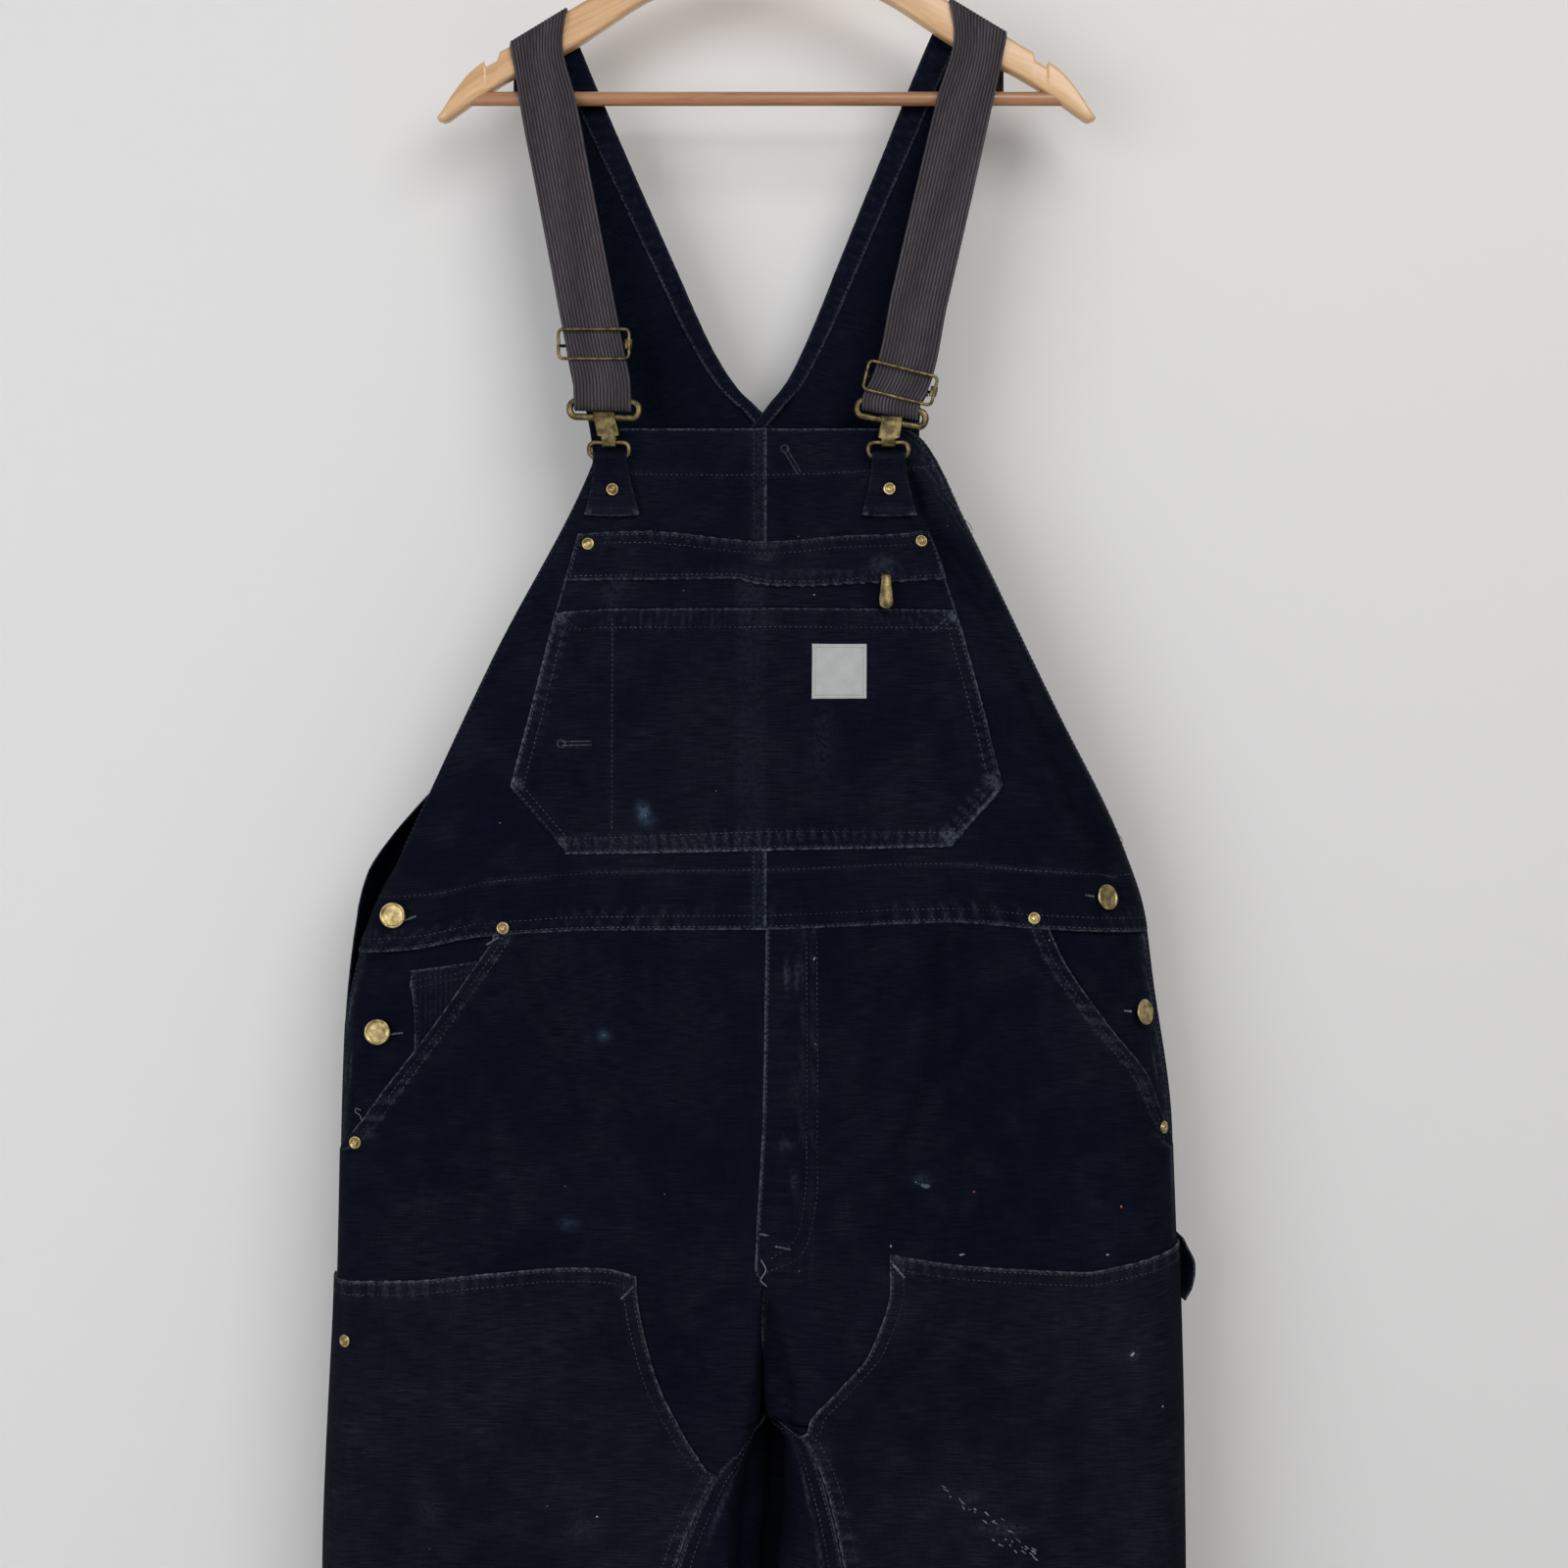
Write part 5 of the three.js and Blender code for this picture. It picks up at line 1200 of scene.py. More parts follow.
def folded_tab(side):
    middle = RING_X[side]
    bar_z = RING_Z - RING_HIGH / 2 + RING_WIRE / 2
    around = RING_WIRE / 2 + 0.6 + TAB_THICK / 2
    panel_y = lie_on(FRONT, middle, np.array([TAB_FOOT, -471, bar_z - 8]))[:, 1]
    heights = [TAB_FOOT, -471, bar_z - 8]
    line = [(y - 1.4, z) for y, z in zip(panel_y, heights)]
    line += [(RING_Y + around * math.cos(angle), bar_z + around * math.sin(angle))
             for angle in np.radians([0, 45, 90, 135, 180])]
    line += [(y - 3.1, z) for y, z in zip(panel_y[::-1], heights[::-1])]
    line = smooth_through(line, 1.3)
    across = steps(32, 1.5, (0.6, 1.5)) * 2 - 1
    flare = 1 - unit((line[:, 1] - TAB_FOOT) / 36)
    half = 11.4 + 7.3 * flare**1.4
    behind = np.arange(len(line)) < len(line) / 2
    half = np.where(behind, half - 1.2, half)
    x = middle + (1.0 if side == RIGHT else 0.4) * (1 + flare[:, None]) + half[:, None] * across
    y = line[:, :1] - 0.5 * np.where(behind, 0, flare)[:, None] ** 3 * abs(across) ** 4
    z = line[:, 1:] - 1.2 * flare[:, None] ** 2 * (1 - across**2) * ~behind[:, None]
    points = np.stack([x, np.broadcast_to(y, x.shape), np.broadcast_to(z, x.shape)], -1)
    left, right, _, foot = from_edges(points)
    beat = 0.6 + 0.4 * np.sin(z / 1.3)
    wear = 0.35 * (bell(left, 1) + bell(right, 1)) * beat + 0.7 * bell(foot, 1)
    wear += 0.9 * bell(foot, 3) * (abs(across) > 0.8) + 0.15 * bell(foot - 5, 1)
    return cloth_object(f"ring_tab_{side_name[side]}", points, (0, -1, 0), TAB_THICK / 2, TAB_THICK, duck,
                        wear)


for side in (RIGHT, LEFT):
    path = loop_path((RING_X[side], RING_Y, RING_Z), 30, RING_HIGH, RING_WIRE, 4.2)
    hang(tube(f"wire_ring_{side_name[side]}", path, RING_WIRE / 2, antique_brass, closed=True),
         "antique_brass",
         f"bib_ring_{side_name[side]}")
    piece = hang(folded_tab(side), "duck_canvas", f"bib_tab_{side_name[side]}")

# ------------------------------------------------------------------ braces
# Ribbed elastic webbing, sewn to the back's horns, laid over the hanger's arms and looped through a clip,
# with its end sewn round the adjuster's bar.
WEB_WIDE, WEB_THICK, WEB_CLEAR = 38.5, 1.8, 1.2
CLIP_WIDE, CLIP_HIGH, CLIP_WIRE, CLIP_Y = 51, 15.2, 4.6, -22
ADJUSTER_WIDE, ADJUSTER_HIGH, ADJUSTER_WIRE, ADJUSTER_Y = 49.5, 22, 2.2, -20.5
braces = {
    RIGHT: {"arm": -155, "clip": (-109, -416), "clip_lean": -1.5, "adjuster": (-115.6, -372.8), "lean": 0},
    LEFT: {"arm": 144, "clip": (84.3, -418.8), "clip_lean": -11, "adjuster": (90, -399), "lean": -14},
}


def elastic_with_painted_groove_shade():
    """Covered rubber: pale worn crests of yarn, dark grooves between the ribs painted as their shade, and
    weft ridges across them.
    """
    material, tree = new_material("elastic webbing")
    cloth = cloth_place(tree)
    fleck = spread(tree, noise(tree, cloth, 95.0, 3.0, (9.0, 1.0, 1.0)), 0.30, 0.70, 0.62, 1.2)
    share = math_node(tree, "MULTIPLY", level_of(tree, "wear"), fleck)
    # The dark groove colour is painted shade between the ribs; the pale crest colour stands for worn yarn.
    tint = blend(tree, share, (0.0085, 0.0072, 0.0092, 1), (0.083, 0.073, 0.084, 1))
    weft = threads(tree, cloth, "Y", 210.0, 1.5, 1.0)
    return finish(material, Base_Color=tint, Roughness=0.86, Normal=bumped(tree, weft, 0.35, 0.0003),
                  Specular_IOR_Level=0.1)


elastic = elastic_with_painted_groove_shade()


def webbing(side):
    brace = braces[side]
    (clip_x, clip_z), (adjuster_x, adjuster_z) = brace["clip"], brace["adjuster"]

    def over_arm(y, drop):
        return [value for end in (-0.5, 0.5) for value in (
            brace["arm"] + end * WEB_WIDE, y, float(arm_top(brace["arm"] + end * WEB_WIDE)) - drop)]

    def flat(x, y, z, lean):
        dx, dz = WEB_WIDE / 2 * math.cos(math.radians(lean)), WEB_WIDE / 2 * math.sin(math.radians(lean))
        return [x - dx, y, z - dz, x + dx, y, z + dz]

    front_y = ADJUSTER_Y - ADJUSTER_WIRE / 2 - 2 * WEB_CLEAR - WEB_THICK / 2 - 0.15
    slope = -31 if brace["arm"] > 0 else 31
    start = float(arm_top(brace["arm"])) - 18
    stops = [over_arm(12.4, 36), over_arm(12.4, 22), over_arm(11.8, 8.7), over_arm(8.8, 0.4),
             over_arm(5, -1.7),
             over_arm(0, -1.7), over_arm(-5, -1.7), over_arm(-8, 1.2)]
    for t in (0, 0.2, 0.45, 0.75, 1):
        stops.append(flat(brace["arm"] + (adjuster_x - brace["arm"]) * t, -7.8 + (front_y + 7.8) * t,
                          start + (adjuster_z - start) * t, slope
                          + (brace["lean"] - slope) * min(1, 2.2 * t)))
    rod_z, turn = clip_z + CLIP_HIGH / 2 - CLIP_WIRE / 2, CLIP_WIRE / 2 + WEB_CLEAR
    if adjuster_z - rod_z > 20:
        stops.append(flat(clip_x - 1.5, CLIP_Y - turn - 0.6, rod_z + 13, brace["clip_lean"]))
    for angle in np.radians([180, 225, 270, 315, 360]):
        stops.append(flat(clip_x - 1, CLIP_Y + turn * math.cos(angle),
                          rod_z + (turn + 2.4) * math.sin(angle),
                          brace["clip_lean"]))
    turn = ADJUSTER_WIRE / 2 + WEB_CLEAR
    for angle in np.radians([0, 60, 120, 180]):
        stops.append(flat(adjuster_x, ADJUSTER_Y + turn * math.cos(angle),
                          adjuster_z + turn * math.sin(angle),
                          brace["lean"]))
    stops.append(flat(adjuster_x + 0.5, ADJUSTER_Y - turn, adjuster_z - 4, brace["lean"]))
    edges = smooth_through(stops, 3.3)
    ribs = 17
    across = np.linspace(0, 1, ribs * 4 + 1)
    a, b = edges[:, None, :3], edges[:, None, 3:]
    points = a + (b - a) * across[:, None]
    rib = abs(np.sin(math.pi * ribs * across)) ** 0.7
    thick = 1.0 + 0.8 * rib
    thick[[0, -1]] = 0.7
    thick = thick[None, :, None]
    walk = np.cumsum(np.r_[0, np.linalg.norm(np.diff(edges[:, :3], axis=0), axis=1)])[:, None]
    edge = np.minimum(across, 1 - across) * WEB_WIDE
    # The wear level sits mostly on the ribs' crests, so the grooves keep the dark colour as painted shade;
    # the pale edges are real wear.
    wear = 0.40 * bell(edge, 0.6) + rib**2.2 * (0.72 + 0.13 * np.sin(walk / 31 + across * 9))
    return cloth_object(f"webbing_{side_name[side]}", points, (0, -1, 0), thick / 2, thick, elastic, wear)


for side in (RIGHT, LEFT):
    piece = hang(webbing(side), "elastic_webbing", f"brace_{side_name[side]}")

# ------------------------------------------------------------------ clips
# Each clip is a rounded wire loop with a flat tongue of brass that is bent round the bib's ring.


def tongue(side):
    x, z = braces[side]["clip"]
    low = RING_Z + RING_HIGH / 2 - RING_WIRE / 2
    around = RING_WIRE / 2 + 0.3 + 0.8
    foot = z - CLIP_HIGH / 2
    line = [(x, CLIP_Y + 1.2, foot + 6), (x, CLIP_Y - 1.6, foot + 5.4), (x, CLIP_Y - 3.0, foot + 2.4),
            (x + 0.5 * (RING_X[side] - x), RING_Y - around + 0.6, foot - 4)]
    line += [(RING_X[side], RING_Y + around * math.cos(angle), low + around * math.sin(angle))
             for angle in np.radians([180, 225, 270, 315, 360])]
    line.append((RING_X[side], RING_Y + around - 0.2, low + 4))
    line = smooth_through(line, 0.8)
    across = steps(15, 1.3, (0.4, 1.0)) * 2 - 1
    way = np.linspace(0, 1, len(line))[:, None]
    rounded = np.where(way < 0.55, unit((low + 3.4 - line[:, 2:]) / (3.4 + around)), 1)
    half = 7.3 - 2.6 * rounded**2
    points = line[:, None] + np.stack([half * across, 0 * way * across, 0 * way * across], -1)
    points[..., 1] -= 0.5 * bell(across, 0.55) * bell(way - 0.2, 0.07)
    return cloth_object(f"clip_tongue_{side_name[side]}", points, (0, -1, 0), 0.8, 1.6, antique_brass)


for side in (RIGHT, LEFT):
    x, z = braces[side]["clip"]
    path = loop_path((x, CLIP_Y, z), CLIP_WIDE, CLIP_HIGH, CLIP_WIRE, 4.6, braces[side]["clip_lean"])
    hang(tube(f"clip_wire_{side_name[side]}", path, CLIP_WIRE / 2, antique_brass, closed=True, sides=14),
         "antique_brass", f"brace_clip_{side_name[side]}")
    hang(tongue(side), "antique_brass")

# ------------------------------------------------------------------ adjusters
# A wire frame in front of the webbing, joined at its ends to the bar behind that holds the webbing's end.
for side in (RIGHT, LEFT):
    x, z = braces[side]["adjuster"]
    lean = braces[side]["lean"]
    front_y = ADJUSTER_Y - ADJUSTER_WIRE - 2 * WEB_CLEAR - WEB_THICK - 0.6
    path = loop_path((x, front_y, z), ADJUSTER_WIDE, ADJUSTER_HIGH, ADJUSTER_WIRE, 3.2, lean)
    hang(tube(f"adjuster_frame_{side_name[side]}", path, ADJUSTER_WIRE / 2, antique_brass, closed=True,
              sides=10),
         "antique_brass", f"brace_adjuster_{side_name[side]}")
    reach = (ADJUSTER_WIDE - ADJUSTER_WIRE) / 2
    turned = Matrix.Rotation(-math.radians(lean), 3, "Y")
    bar = [turned @ Vector(point) + Vector((x, 0, z)) for point in (
        (-reach, front_y, 0), (-reach, front_y + 2, 0), (-reach, ADJUSTER_Y - 1.5, 0),
                                                                    (-reach + 1.2, ADJUSTER_Y, 0),
        (0, ADJUSTER_Y, 0), (reach - 1.2, ADJUSTER_Y, 0), (reach, ADJUSTER_Y - 1.5, 0),
                                                                    (reach, front_y + 2, 0),
        (reach, front_y, 0))]
    hang(tube(f"adjuster_bar_{side_name[side]}", bar, ADJUSTER_WIRE / 2, antique_brass, sides=10,
              up=(0, 0, 1)),
         "antique_brass")
    clasp = [[turned @ Vector((reach - 0.6 + cx * wide, front_y + 1.3 + cy * 1.3, along)) + Vector((x, 0, z))
              for cx, cy in ((1, 0.4), (0.7, 1), (-0.7, 1), (-1, 0.4), (-1, -0.4), (-0.7, -1), (0.7, -1),
                             (1, -0.4))]
             for along, wide in ((-3.4, 1.9), (-3.1, 2.5), (3.1, 2.5), (3.4, 1.9))]
    hang(loft(f"adjuster_clasp_{side_name[side]}", clasp, antique_brass), "antique_brass")

# ------------------------------------------------------------------ buttons and rivets
# Plain brass shank buttons close the side openings, and burred brass rivets hold the pockets' corners.


def stand_on(x, z, lift, reach=4.0):
    """Where a stud stands on the front: its +Z is the cloth's outward normal."""
    here = lie_on(FRONT, x, z)
    wide = lie_on(FRONT, x + reach, z) - lie_on(FRONT, x - reach, z)
    tall = lie_on(FRONT, x, z + reach) - lie_on(FRONT, x, z - reach)
    normal = Vector(np.cross(wide, tall)).normalized()
    up = Vector(tall).normalized()
    across = up.cross(normal)
    basis = Matrix((across, up, normal)).transposed().to_4x4()
    return Matrix.Translation((Vector(here) + normal * lift) * MM) @ basis


def stud(name, stops, sides, place, material):
    """A body turned from stops of (radius, height), standing at a place."""
    angle = np.linspace(0, 2 * math.pi, sides, endpoint=False)
    rings = [np.stack([r * np.cos(angle), r * np.sin(angle), np.full(sides, h)], -1) for r, h in stops]
    obj = loft(name, rings, material)
    obj.data.transform(place)
    return obj


button_brass = metal_material("button brass", (0.44, 0.35, 0.17), (0.20, 0.15, 0.065), 0.26)
BUTTON = [(2.9, 0), (2.9, 1.6), (7.6, 1.7), (8.4, 2.0), (8.65, 2.5), (8.6, 3.1), (8.2, 3.6), (7.7, 3.75),
          (7.2, 3.6),
          (6.8, 3.3), (6.2, 3.2), (4.2, 3.35), (2.2, 3.42), (0.6, 3.45)]
RIVET = [(4.2, 0), (4.3, 0.35), (4.1, 0.9), (3.6, 1.15), (3.1, 1.05), (2.7, 0.55), (2.35, 0.25), (2.05, 0.3),
         (1.85, 0.95), (1.5, 1.3), (1.0, 1.3), (0.3, 1.0)]
for name, x, z, lift in (("right_upper", -248, -755.5, 0.6), ("right_lower", -258.5, -833, -2.7),
                         ("left_upper", 226, -744.5, 0.6), ("left_lower", 254.5, -821.5, -2.7)):
    hang(stud(f"shank_button_{name}", BUTTON, 48, stand_on(x, z, lift + 0.8, 10), button_brass),
         "antique_brass",
         f"side_button_{name}")
TAB_FRONT, FLAP_FRONT = 4.4, 4.5
for name, x, z, lift in (
        ("tab_right", -103.5, -470, TAB_FRONT), ("tab_left", 82.5, -470, TAB_FRONT),
        ("bib_pocket_right", -119, -507, FLAP_FRONT), ("bib_pocket_left", 103, -506, FLAP_FRONT),
        ("pocket_top_right", -175, -764, 1.4), ("pocket_top_left", 179, -758, 1.4),
        ("pocket_foot_right", -272.5, -906, 0.7), ("pocket_foot_left", 267, -899, 0.7),
        ("side_pocket_right", -278, -1037.5, 2.6)):
    hang(stud(f"burr_{name}", RIVET, 28, stand_on(x, z, lift), button_brass), "antique_brass",
         f"rivet_{name}")

# ------------------------------------------------------------------ zip slider and pull
# Only the slider's nose and the plain pull show below the pocket's flap. The pull swings on the slider.
place = stand_on(80, -529, 0, 12)
plate = []
for height, wide, deep in ((0.6, 2.2, 1.0), (0, 2.9, 1.5), (-1.2, 3.1, 1.6), (-4, 3.3, 1.6), (-12, 4.2, 1.6),
                           (-17.6, 4.75, 1.6), (-20, 4.4, 1.6), (-21.8, 3.2, 1.6), (-22.8, 1.6, 1.4),
                           (-23, 0.6, 0.9)):
    corner = 0.35
    outline = [(wide - corner, 0), (wide, corner), (wide, deep - corner), (wide - corner, deep),
               (-wide + corner, deep), (-wide, deep - corner), (-wide, corner), (-wide + corner, 0)]
    plate.append([(x, height, y + 8.0) for x, y in outline])
pull = loft("zip_pull_plate", plate, antique_brass)
pull.data.transform(place)
hang(pull, "antique_brass", "bib_zip_pull", body="zip_pull")
nose = []
for height, wide, deep in ((9, 1.6, 3.4), (8.4, 2.6, 4.0), (5, 3.2, 4.6), (2, 3.2, 4.8), (1.1, 2.6, 4.6)):
    outline = [(wide - 0.5, 2.4), (wide, 2.7), (wide, deep - 0.3), (wide - 0.5, deep), (-wide + 0.5, deep),
               (-wide, deep - 0.3), (-wide, 2.7), (-wide + 0.5, 2.4)]
    nose.append([(x, height, y) for x, y in outline])
slider = loft("slider_nose", nose, antique_brass)
slider.data.transform(place)
hang(slider, "antique_brass", "bib_zip_slider")

# ------------------------------------------------------------------ hanger
# Flat arms of varnished beech with a notch near each end, a round trouser bar let into them, and a hook of
# polished steel wire.
ALONG_GRAIN = (1.0, 14.0, 14.0)


def wood_material(name, light, dark, rough):
    material, tree = new_material(name)
    bent = add_node(tree, "ShaderNodeAttribute", {"attribute_name": "grain"}).outputs["Vector"]
    streak, fine = noise(tree, bent, 16.0, 4.0, ALONG_GRAIN, 0.6), noise(tree, bent, 90.0, 2.0, ALONG_GRAIN)
    mixed = math_node(tree, "MULTIPLY_ADD", fine, 0.35, streak)
    mixed = math_node(tree, "MULTIPLY_ADD", noise(tree, object_place(tree), 9.0, 2.0), 0.3, mixed)
    tint = blend(tree, spread(tree, mixed, 0.58, 1.05), (*dark, 1), (*light, 1))
    return finish(material, Base_Color=tint, Roughness=rough, Normal=bumped(tree, fine, 0.12, 0.0003),
                  Coat_Weight=0.35, Coat_Roughness=0.25)


def set_grain(obj, place):
    """Keeps where each vertex lies in the plank: along the grain, across it and through it, in metres."""
    grain = obj.data.attributes.new("grain", "FLOAT_VECTOR", "POINT").data
    grain.foreach_set("vector", (place * MM).ravel())
    return obj


arm_foot = curve([(0, -110), (-30, -113), (-78, -132), (-131, -165.5), (-169, -184), (-198, -202),
                  (-219, -217)])
x = np.unique(np.r_[np.linspace(-222.5, 222.5, 150), np.linspace(-194, -180, 22), np.linspace(180, 194, 22),
                    -224.2, 224.2, -223.6, 223.6])
notch = 5 * unit((5.2 - abs(abs(x) - 187)) / 1.4)
top, foot = arm_top(x) - notch, arm_foot(-abs(x))
end = np.clip((224.6 - abs(x)) / 9, 0.02, 1)
end = np.sqrt(1 - (1 - end) ** 2)
middle_z = top * 0.5 + foot * 0.5
middle_z = np.where(abs(x) > 216, np.interp(abs(x), [216, 224.6], [-209.5, -213.5]), middle_z)
top, foot = middle_z + (top - middle_z) * end, middle_z + (foot - middle_z) * end
outline = []
for corner_y, corner_z, start in ((1, 1, 0), (-1, 1, 90), (-1, -1, 180), (1, -1, 270)):
    for turn in (0, 30, 60, 90):
        angle = math.radians(start + turn)
        outline.append((corner_y, corner_z, math.cos(angle), math.sin(angle)))
rings = []
for px, high, low, share in zip(x, top, foot, end):
    deep, soft = 6.0 * (0.55 + 0.45 * share), min(3.2, (high - low) * 0.45)
    rings.append([(px, (cy * (deep - soft)) + soft * dy,
                   (high - soft if cz > 0 else low + soft) + soft * dz) for cy, cz, dy, dz in outline])
rings = np.array(rings)
arms = loft("arms_of_hanger", rings, wood_material("varnished beech", (0.56, 0.355, 0.185),
                                                   (0.40, 0.225, 0.10), 0.34))
along = rings.reshape(-1, 3).copy()
along[:, 2] -= np.repeat((top + foot) / 2, len(outline)) * 0.8
set_grain(arms, along)
hang(arms, "hanger_wood", "hanger_arms")
bar_line = [(x, 0, -200) for x in np.linspace(-203, 203, 60)]
rod = tube("bar_of_hanger", bar_line, 4.75, wood_material("beech bar", (0.34, 0.165, 0.075),
                                                          (0.22, 0.095, 0.04),
                                                         0.42), sides=20)
set_grain(rod, np.array([vertex.co for vertex in rod.data.vertices]) / MM + (0, 31, 17))
hang(rod, "hanger_wood", "hanger_bar")
middle = 22
shank = [(0, 0, -80), (0, 0, -70), (0.2, 0, -60), (2.6, 0, -50)]
arc = [(middle * math.cos(math.radians(turn)), 0, -20 + middle * math.sin(math.radians(turn)))
       for turn in range(-38, 206, 9)]
steel = metal_material("hook steel", (0.62, 0.63, 0.65), (0.45, 0.46, 0.48), 0.16)
hang(tube("hook_of_hanger", smooth_through(shank + arc, 2.0), 2.0, steel, sides=16), "hook_steel",
     "hanger_hook")

# ------------------------------------------------------------------ seams
# Rows of lockstitch in navy thread that has faded in patches. Each stitch is a short fat grain, half sunk in
# the duck.


def seam_row(name, edge, inset, keep=(0, 1e9)):
    """The line on a sheet's face at an even distance from one of its edges, with the normals along it."""
    turn = {"left": lambda grid: grid, "right": lambda grid: grid[:, ::-1],
            "top": lambda grid: grid.swapaxes(0, 1),
            "foot": lambda grid: grid[::-1].swapaxes(0, 1)}[edge]
    face, normal = (turn(grid) for grid in made_faces[name])
    away = np.cumsum(np.linalg.norm(np.diff(face, axis=1), axis=2), axis=1)
    away = np.concatenate([np.zeros((len(face), 1)), away], axis=1)
    i = np.clip((away < inset).sum(axis=1) - 1, 0, face.shape[1] - 2)
    row = np.arange(len(face))
    t = unit((inset - away[row, i]) / np.maximum(away[row, i + 1] - away[row, i], 1e-6))[:, None]
    line = face[row, i] * (1 - t) + face[row, i + 1] * t
    walk = np.r_[0, np.cumsum(np.linalg.norm(np.diff(line, axis=0), axis=1))]
    kept = (walk >= keep[0] + 1.6) & (walk <= min(keep[1], walk[-1]) - 1.6)
    return line[kept], normal[row, i][kept]


def touch(name, x, z):
    """The points of a sheet's face at the given x and z, with their normals."""
    face, normal = (grid.reshape(-1, 3) for grid in made_faces[name])
    points = np.stack(np.broadcast_arrays(np.asarray(x, float), 0.0, np.asarray(z, float)), -1)
    points = points.reshape(-1, 3)
    near = np.array([np.argmin((face[:, 0] - px) ** 2 + (face[:, 2] - pz) ** 2) for px, _, pz in points])
    n = normal[near]
    gap = (points - face[near]) * (1, 0, 1)
    points[:, 1] = face[near, 1] - np.sum(gap * n, axis=1) / np.where(abs(n[:, 1]) < 0.3, -0.3, n[:, 1])
    return points, n


def drawn(name, stops, step=4.0):
    """A smooth line over a sheet's face through stops of (x, z), with the normals along it."""
    line = smooth_through(stops, step)
    return touch(name, line[:, 0], line[:, 1])


def lay(line, pitch):
    """Even stitches along a line: where each is, which way it runs and which way is out."""
    points, normal = line
    walk = np.r_[0, np.cumsum(np.linalg.norm(np.diff(points, axis=0), axis=1))]
    at = np.arange(pitch / 2, walk[-1], pitch)
    place, out = (np.stack([np.interp(at, walk, grid[:, k]) for k in range(3)], -1)
                  for grid in (points, normal))
    ahead = np.stack([np.interp(at + 0.5, walk, points[:, k]) for k in range(3)], -1)
    behind = np.stack([np.interp(at - 0.5, walk, points[:, k]) for k in range(3)], -1)
    return place, ahead - behind, out


def satin(line, width, pitch=0.75):
    """Close stitches across a line, as round a buttonhole."""
    place, along, out = lay(line, pitch)
    return place, np.cross(out, along) * width, out


def grain_group():
    """Sets a grain of thread on every point, turned by the point's own directions."""
    tree = bpy.data.node_groups.new("stitches", "GeometryNodeTree")
    add_sockets(tree, "INPUT", "Geometry", "Geometry")
    add_sockets(tree, "INPUT", "Float", "Length", "Thickness", "Unevenness")
    add_sockets(tree, "INPUT", "Int", "Seed")
    add_sockets(tree, "INPUT", "Material", "Thread")
    add_sockets(tree, "OUTPUT", "Geometry", "Geometry")
    given, result = tree.nodes.new("NodeGroupInput"), tree.nodes.new("NodeGroupOutput")
    size = add_node(tree, "ShaderNodeCombineXYZ", X=given.outputs["Length"], Y=given.outputs["Thickness"],
                    Z=given.outputs["Thickness"]).outputs[0]
    grain = add_node(tree, "GeometryNodeMeshUVSphere", Segments=4, Rings=3, Radius=0.5).outputs["Mesh"]
    grain = add_node(tree, "GeometryNodeTransform", Geometry=grain, Scale=size).outputs[0]
    out, along = (add_node(tree, "GeometryNodeInputNamedAttribute", {"data_type": "FLOAT_VECTOR"},
                           Name=key).outputs[0] for key in ("out", "along"))
    facing = add_node(tree, "FunctionNodeAlignRotationToVector", {"axis": "Z"}, Vector=out).outputs[0]
    facing = add_node(tree, "FunctionNodeAlignRotationToVector", {"axis": "X", "pivot_axis": "Z"},
                      Rotation=facing,
                      Vector=along).outputs[0]
    least = math_node(tree, "SUBTRACT", 1.0, given.outputs["Unevenness"])
    scale = add_node(tree, "FunctionNodeRandomValue", {"data_type": "FLOAT"}, _2=least, _3=1.0,
                     Seed=given.outputs["Seed"]).outputs[1]
    grains = add_node(tree, "GeometryNodeInstanceOnPoints", Points=given.outputs["Geometry"], Instance=grain,
                      Rotation=facing, Scale=scale).outputs[0]
    grains = add_node(tree, "GeometryNodeRealizeInstances", Geometry=grains).outputs[0]
    grains = add_node(tree, "GeometryNodeSetShadeSmooth", Geometry=grains).outputs[0]
    grains = add_node(tree, "GeometryNodeSetMaterial", Geometry=grains,
                      Material=given.outputs["Thread"]).outputs[0]
    tree.links.new(grains, result.inputs[0])
    return tree


grain_tree = grain_group()


def sew(name, rows, length, thick, material, seed, slot="duck_canvas", uneven=0.12):
    """One piece made of a grain of thread for every stitch of some rows."""
    place, along, out = (np.concatenate(part) for part in zip(*rows))
    mesh = bpy.data.meshes.new(name + " points")
    mesh.from_pydata((place * MM).tolist(), [], [])
    for key, vectors in (("along", along), ("out", out)):
        mesh.attributes.new(key, "FLOAT_VECTOR", "POINT").data.foreach_set("vector", vectors.ravel())
    source = put(name + " points", mesh)
    modifier = source.modifiers.new("stitches", "NODES")
    modifier.node_group = grain_tree
    given = {"Length": length * MM, "Thickness": thick * MM, "Unevenness": uneven, "Seed": seed,
             "Thread": material}
    for item in grain_tree.interface.items_tree:
        if item.in_out == "INPUT" and item.name in given:
            modifier[item.identifier] = given[item.name]
    made = bpy.data.meshes.new_from_object(source.evaluated_get(bpy.context.evaluated_depsgraph_get()))
    made.name = name
    bpy.data.objects.remove(source)
    return hang(put(name, made), slot)


def thread_material(name, dark, pale, low, high):
    material, tree = new_material(name)
    wide, close = (noise(tree, object_place(tree), *fineness) for fineness in ((24.0, 3.0), (310.0, 1.0)))
    share = spread(tree, math_node(tree, "MULTIPLY_ADD", close, 0.5, wide), low, high)
    return finish(material, Base_Color=blend(tree, share, (*dark, 1), (*pale, 1)), Roughness=0.8)


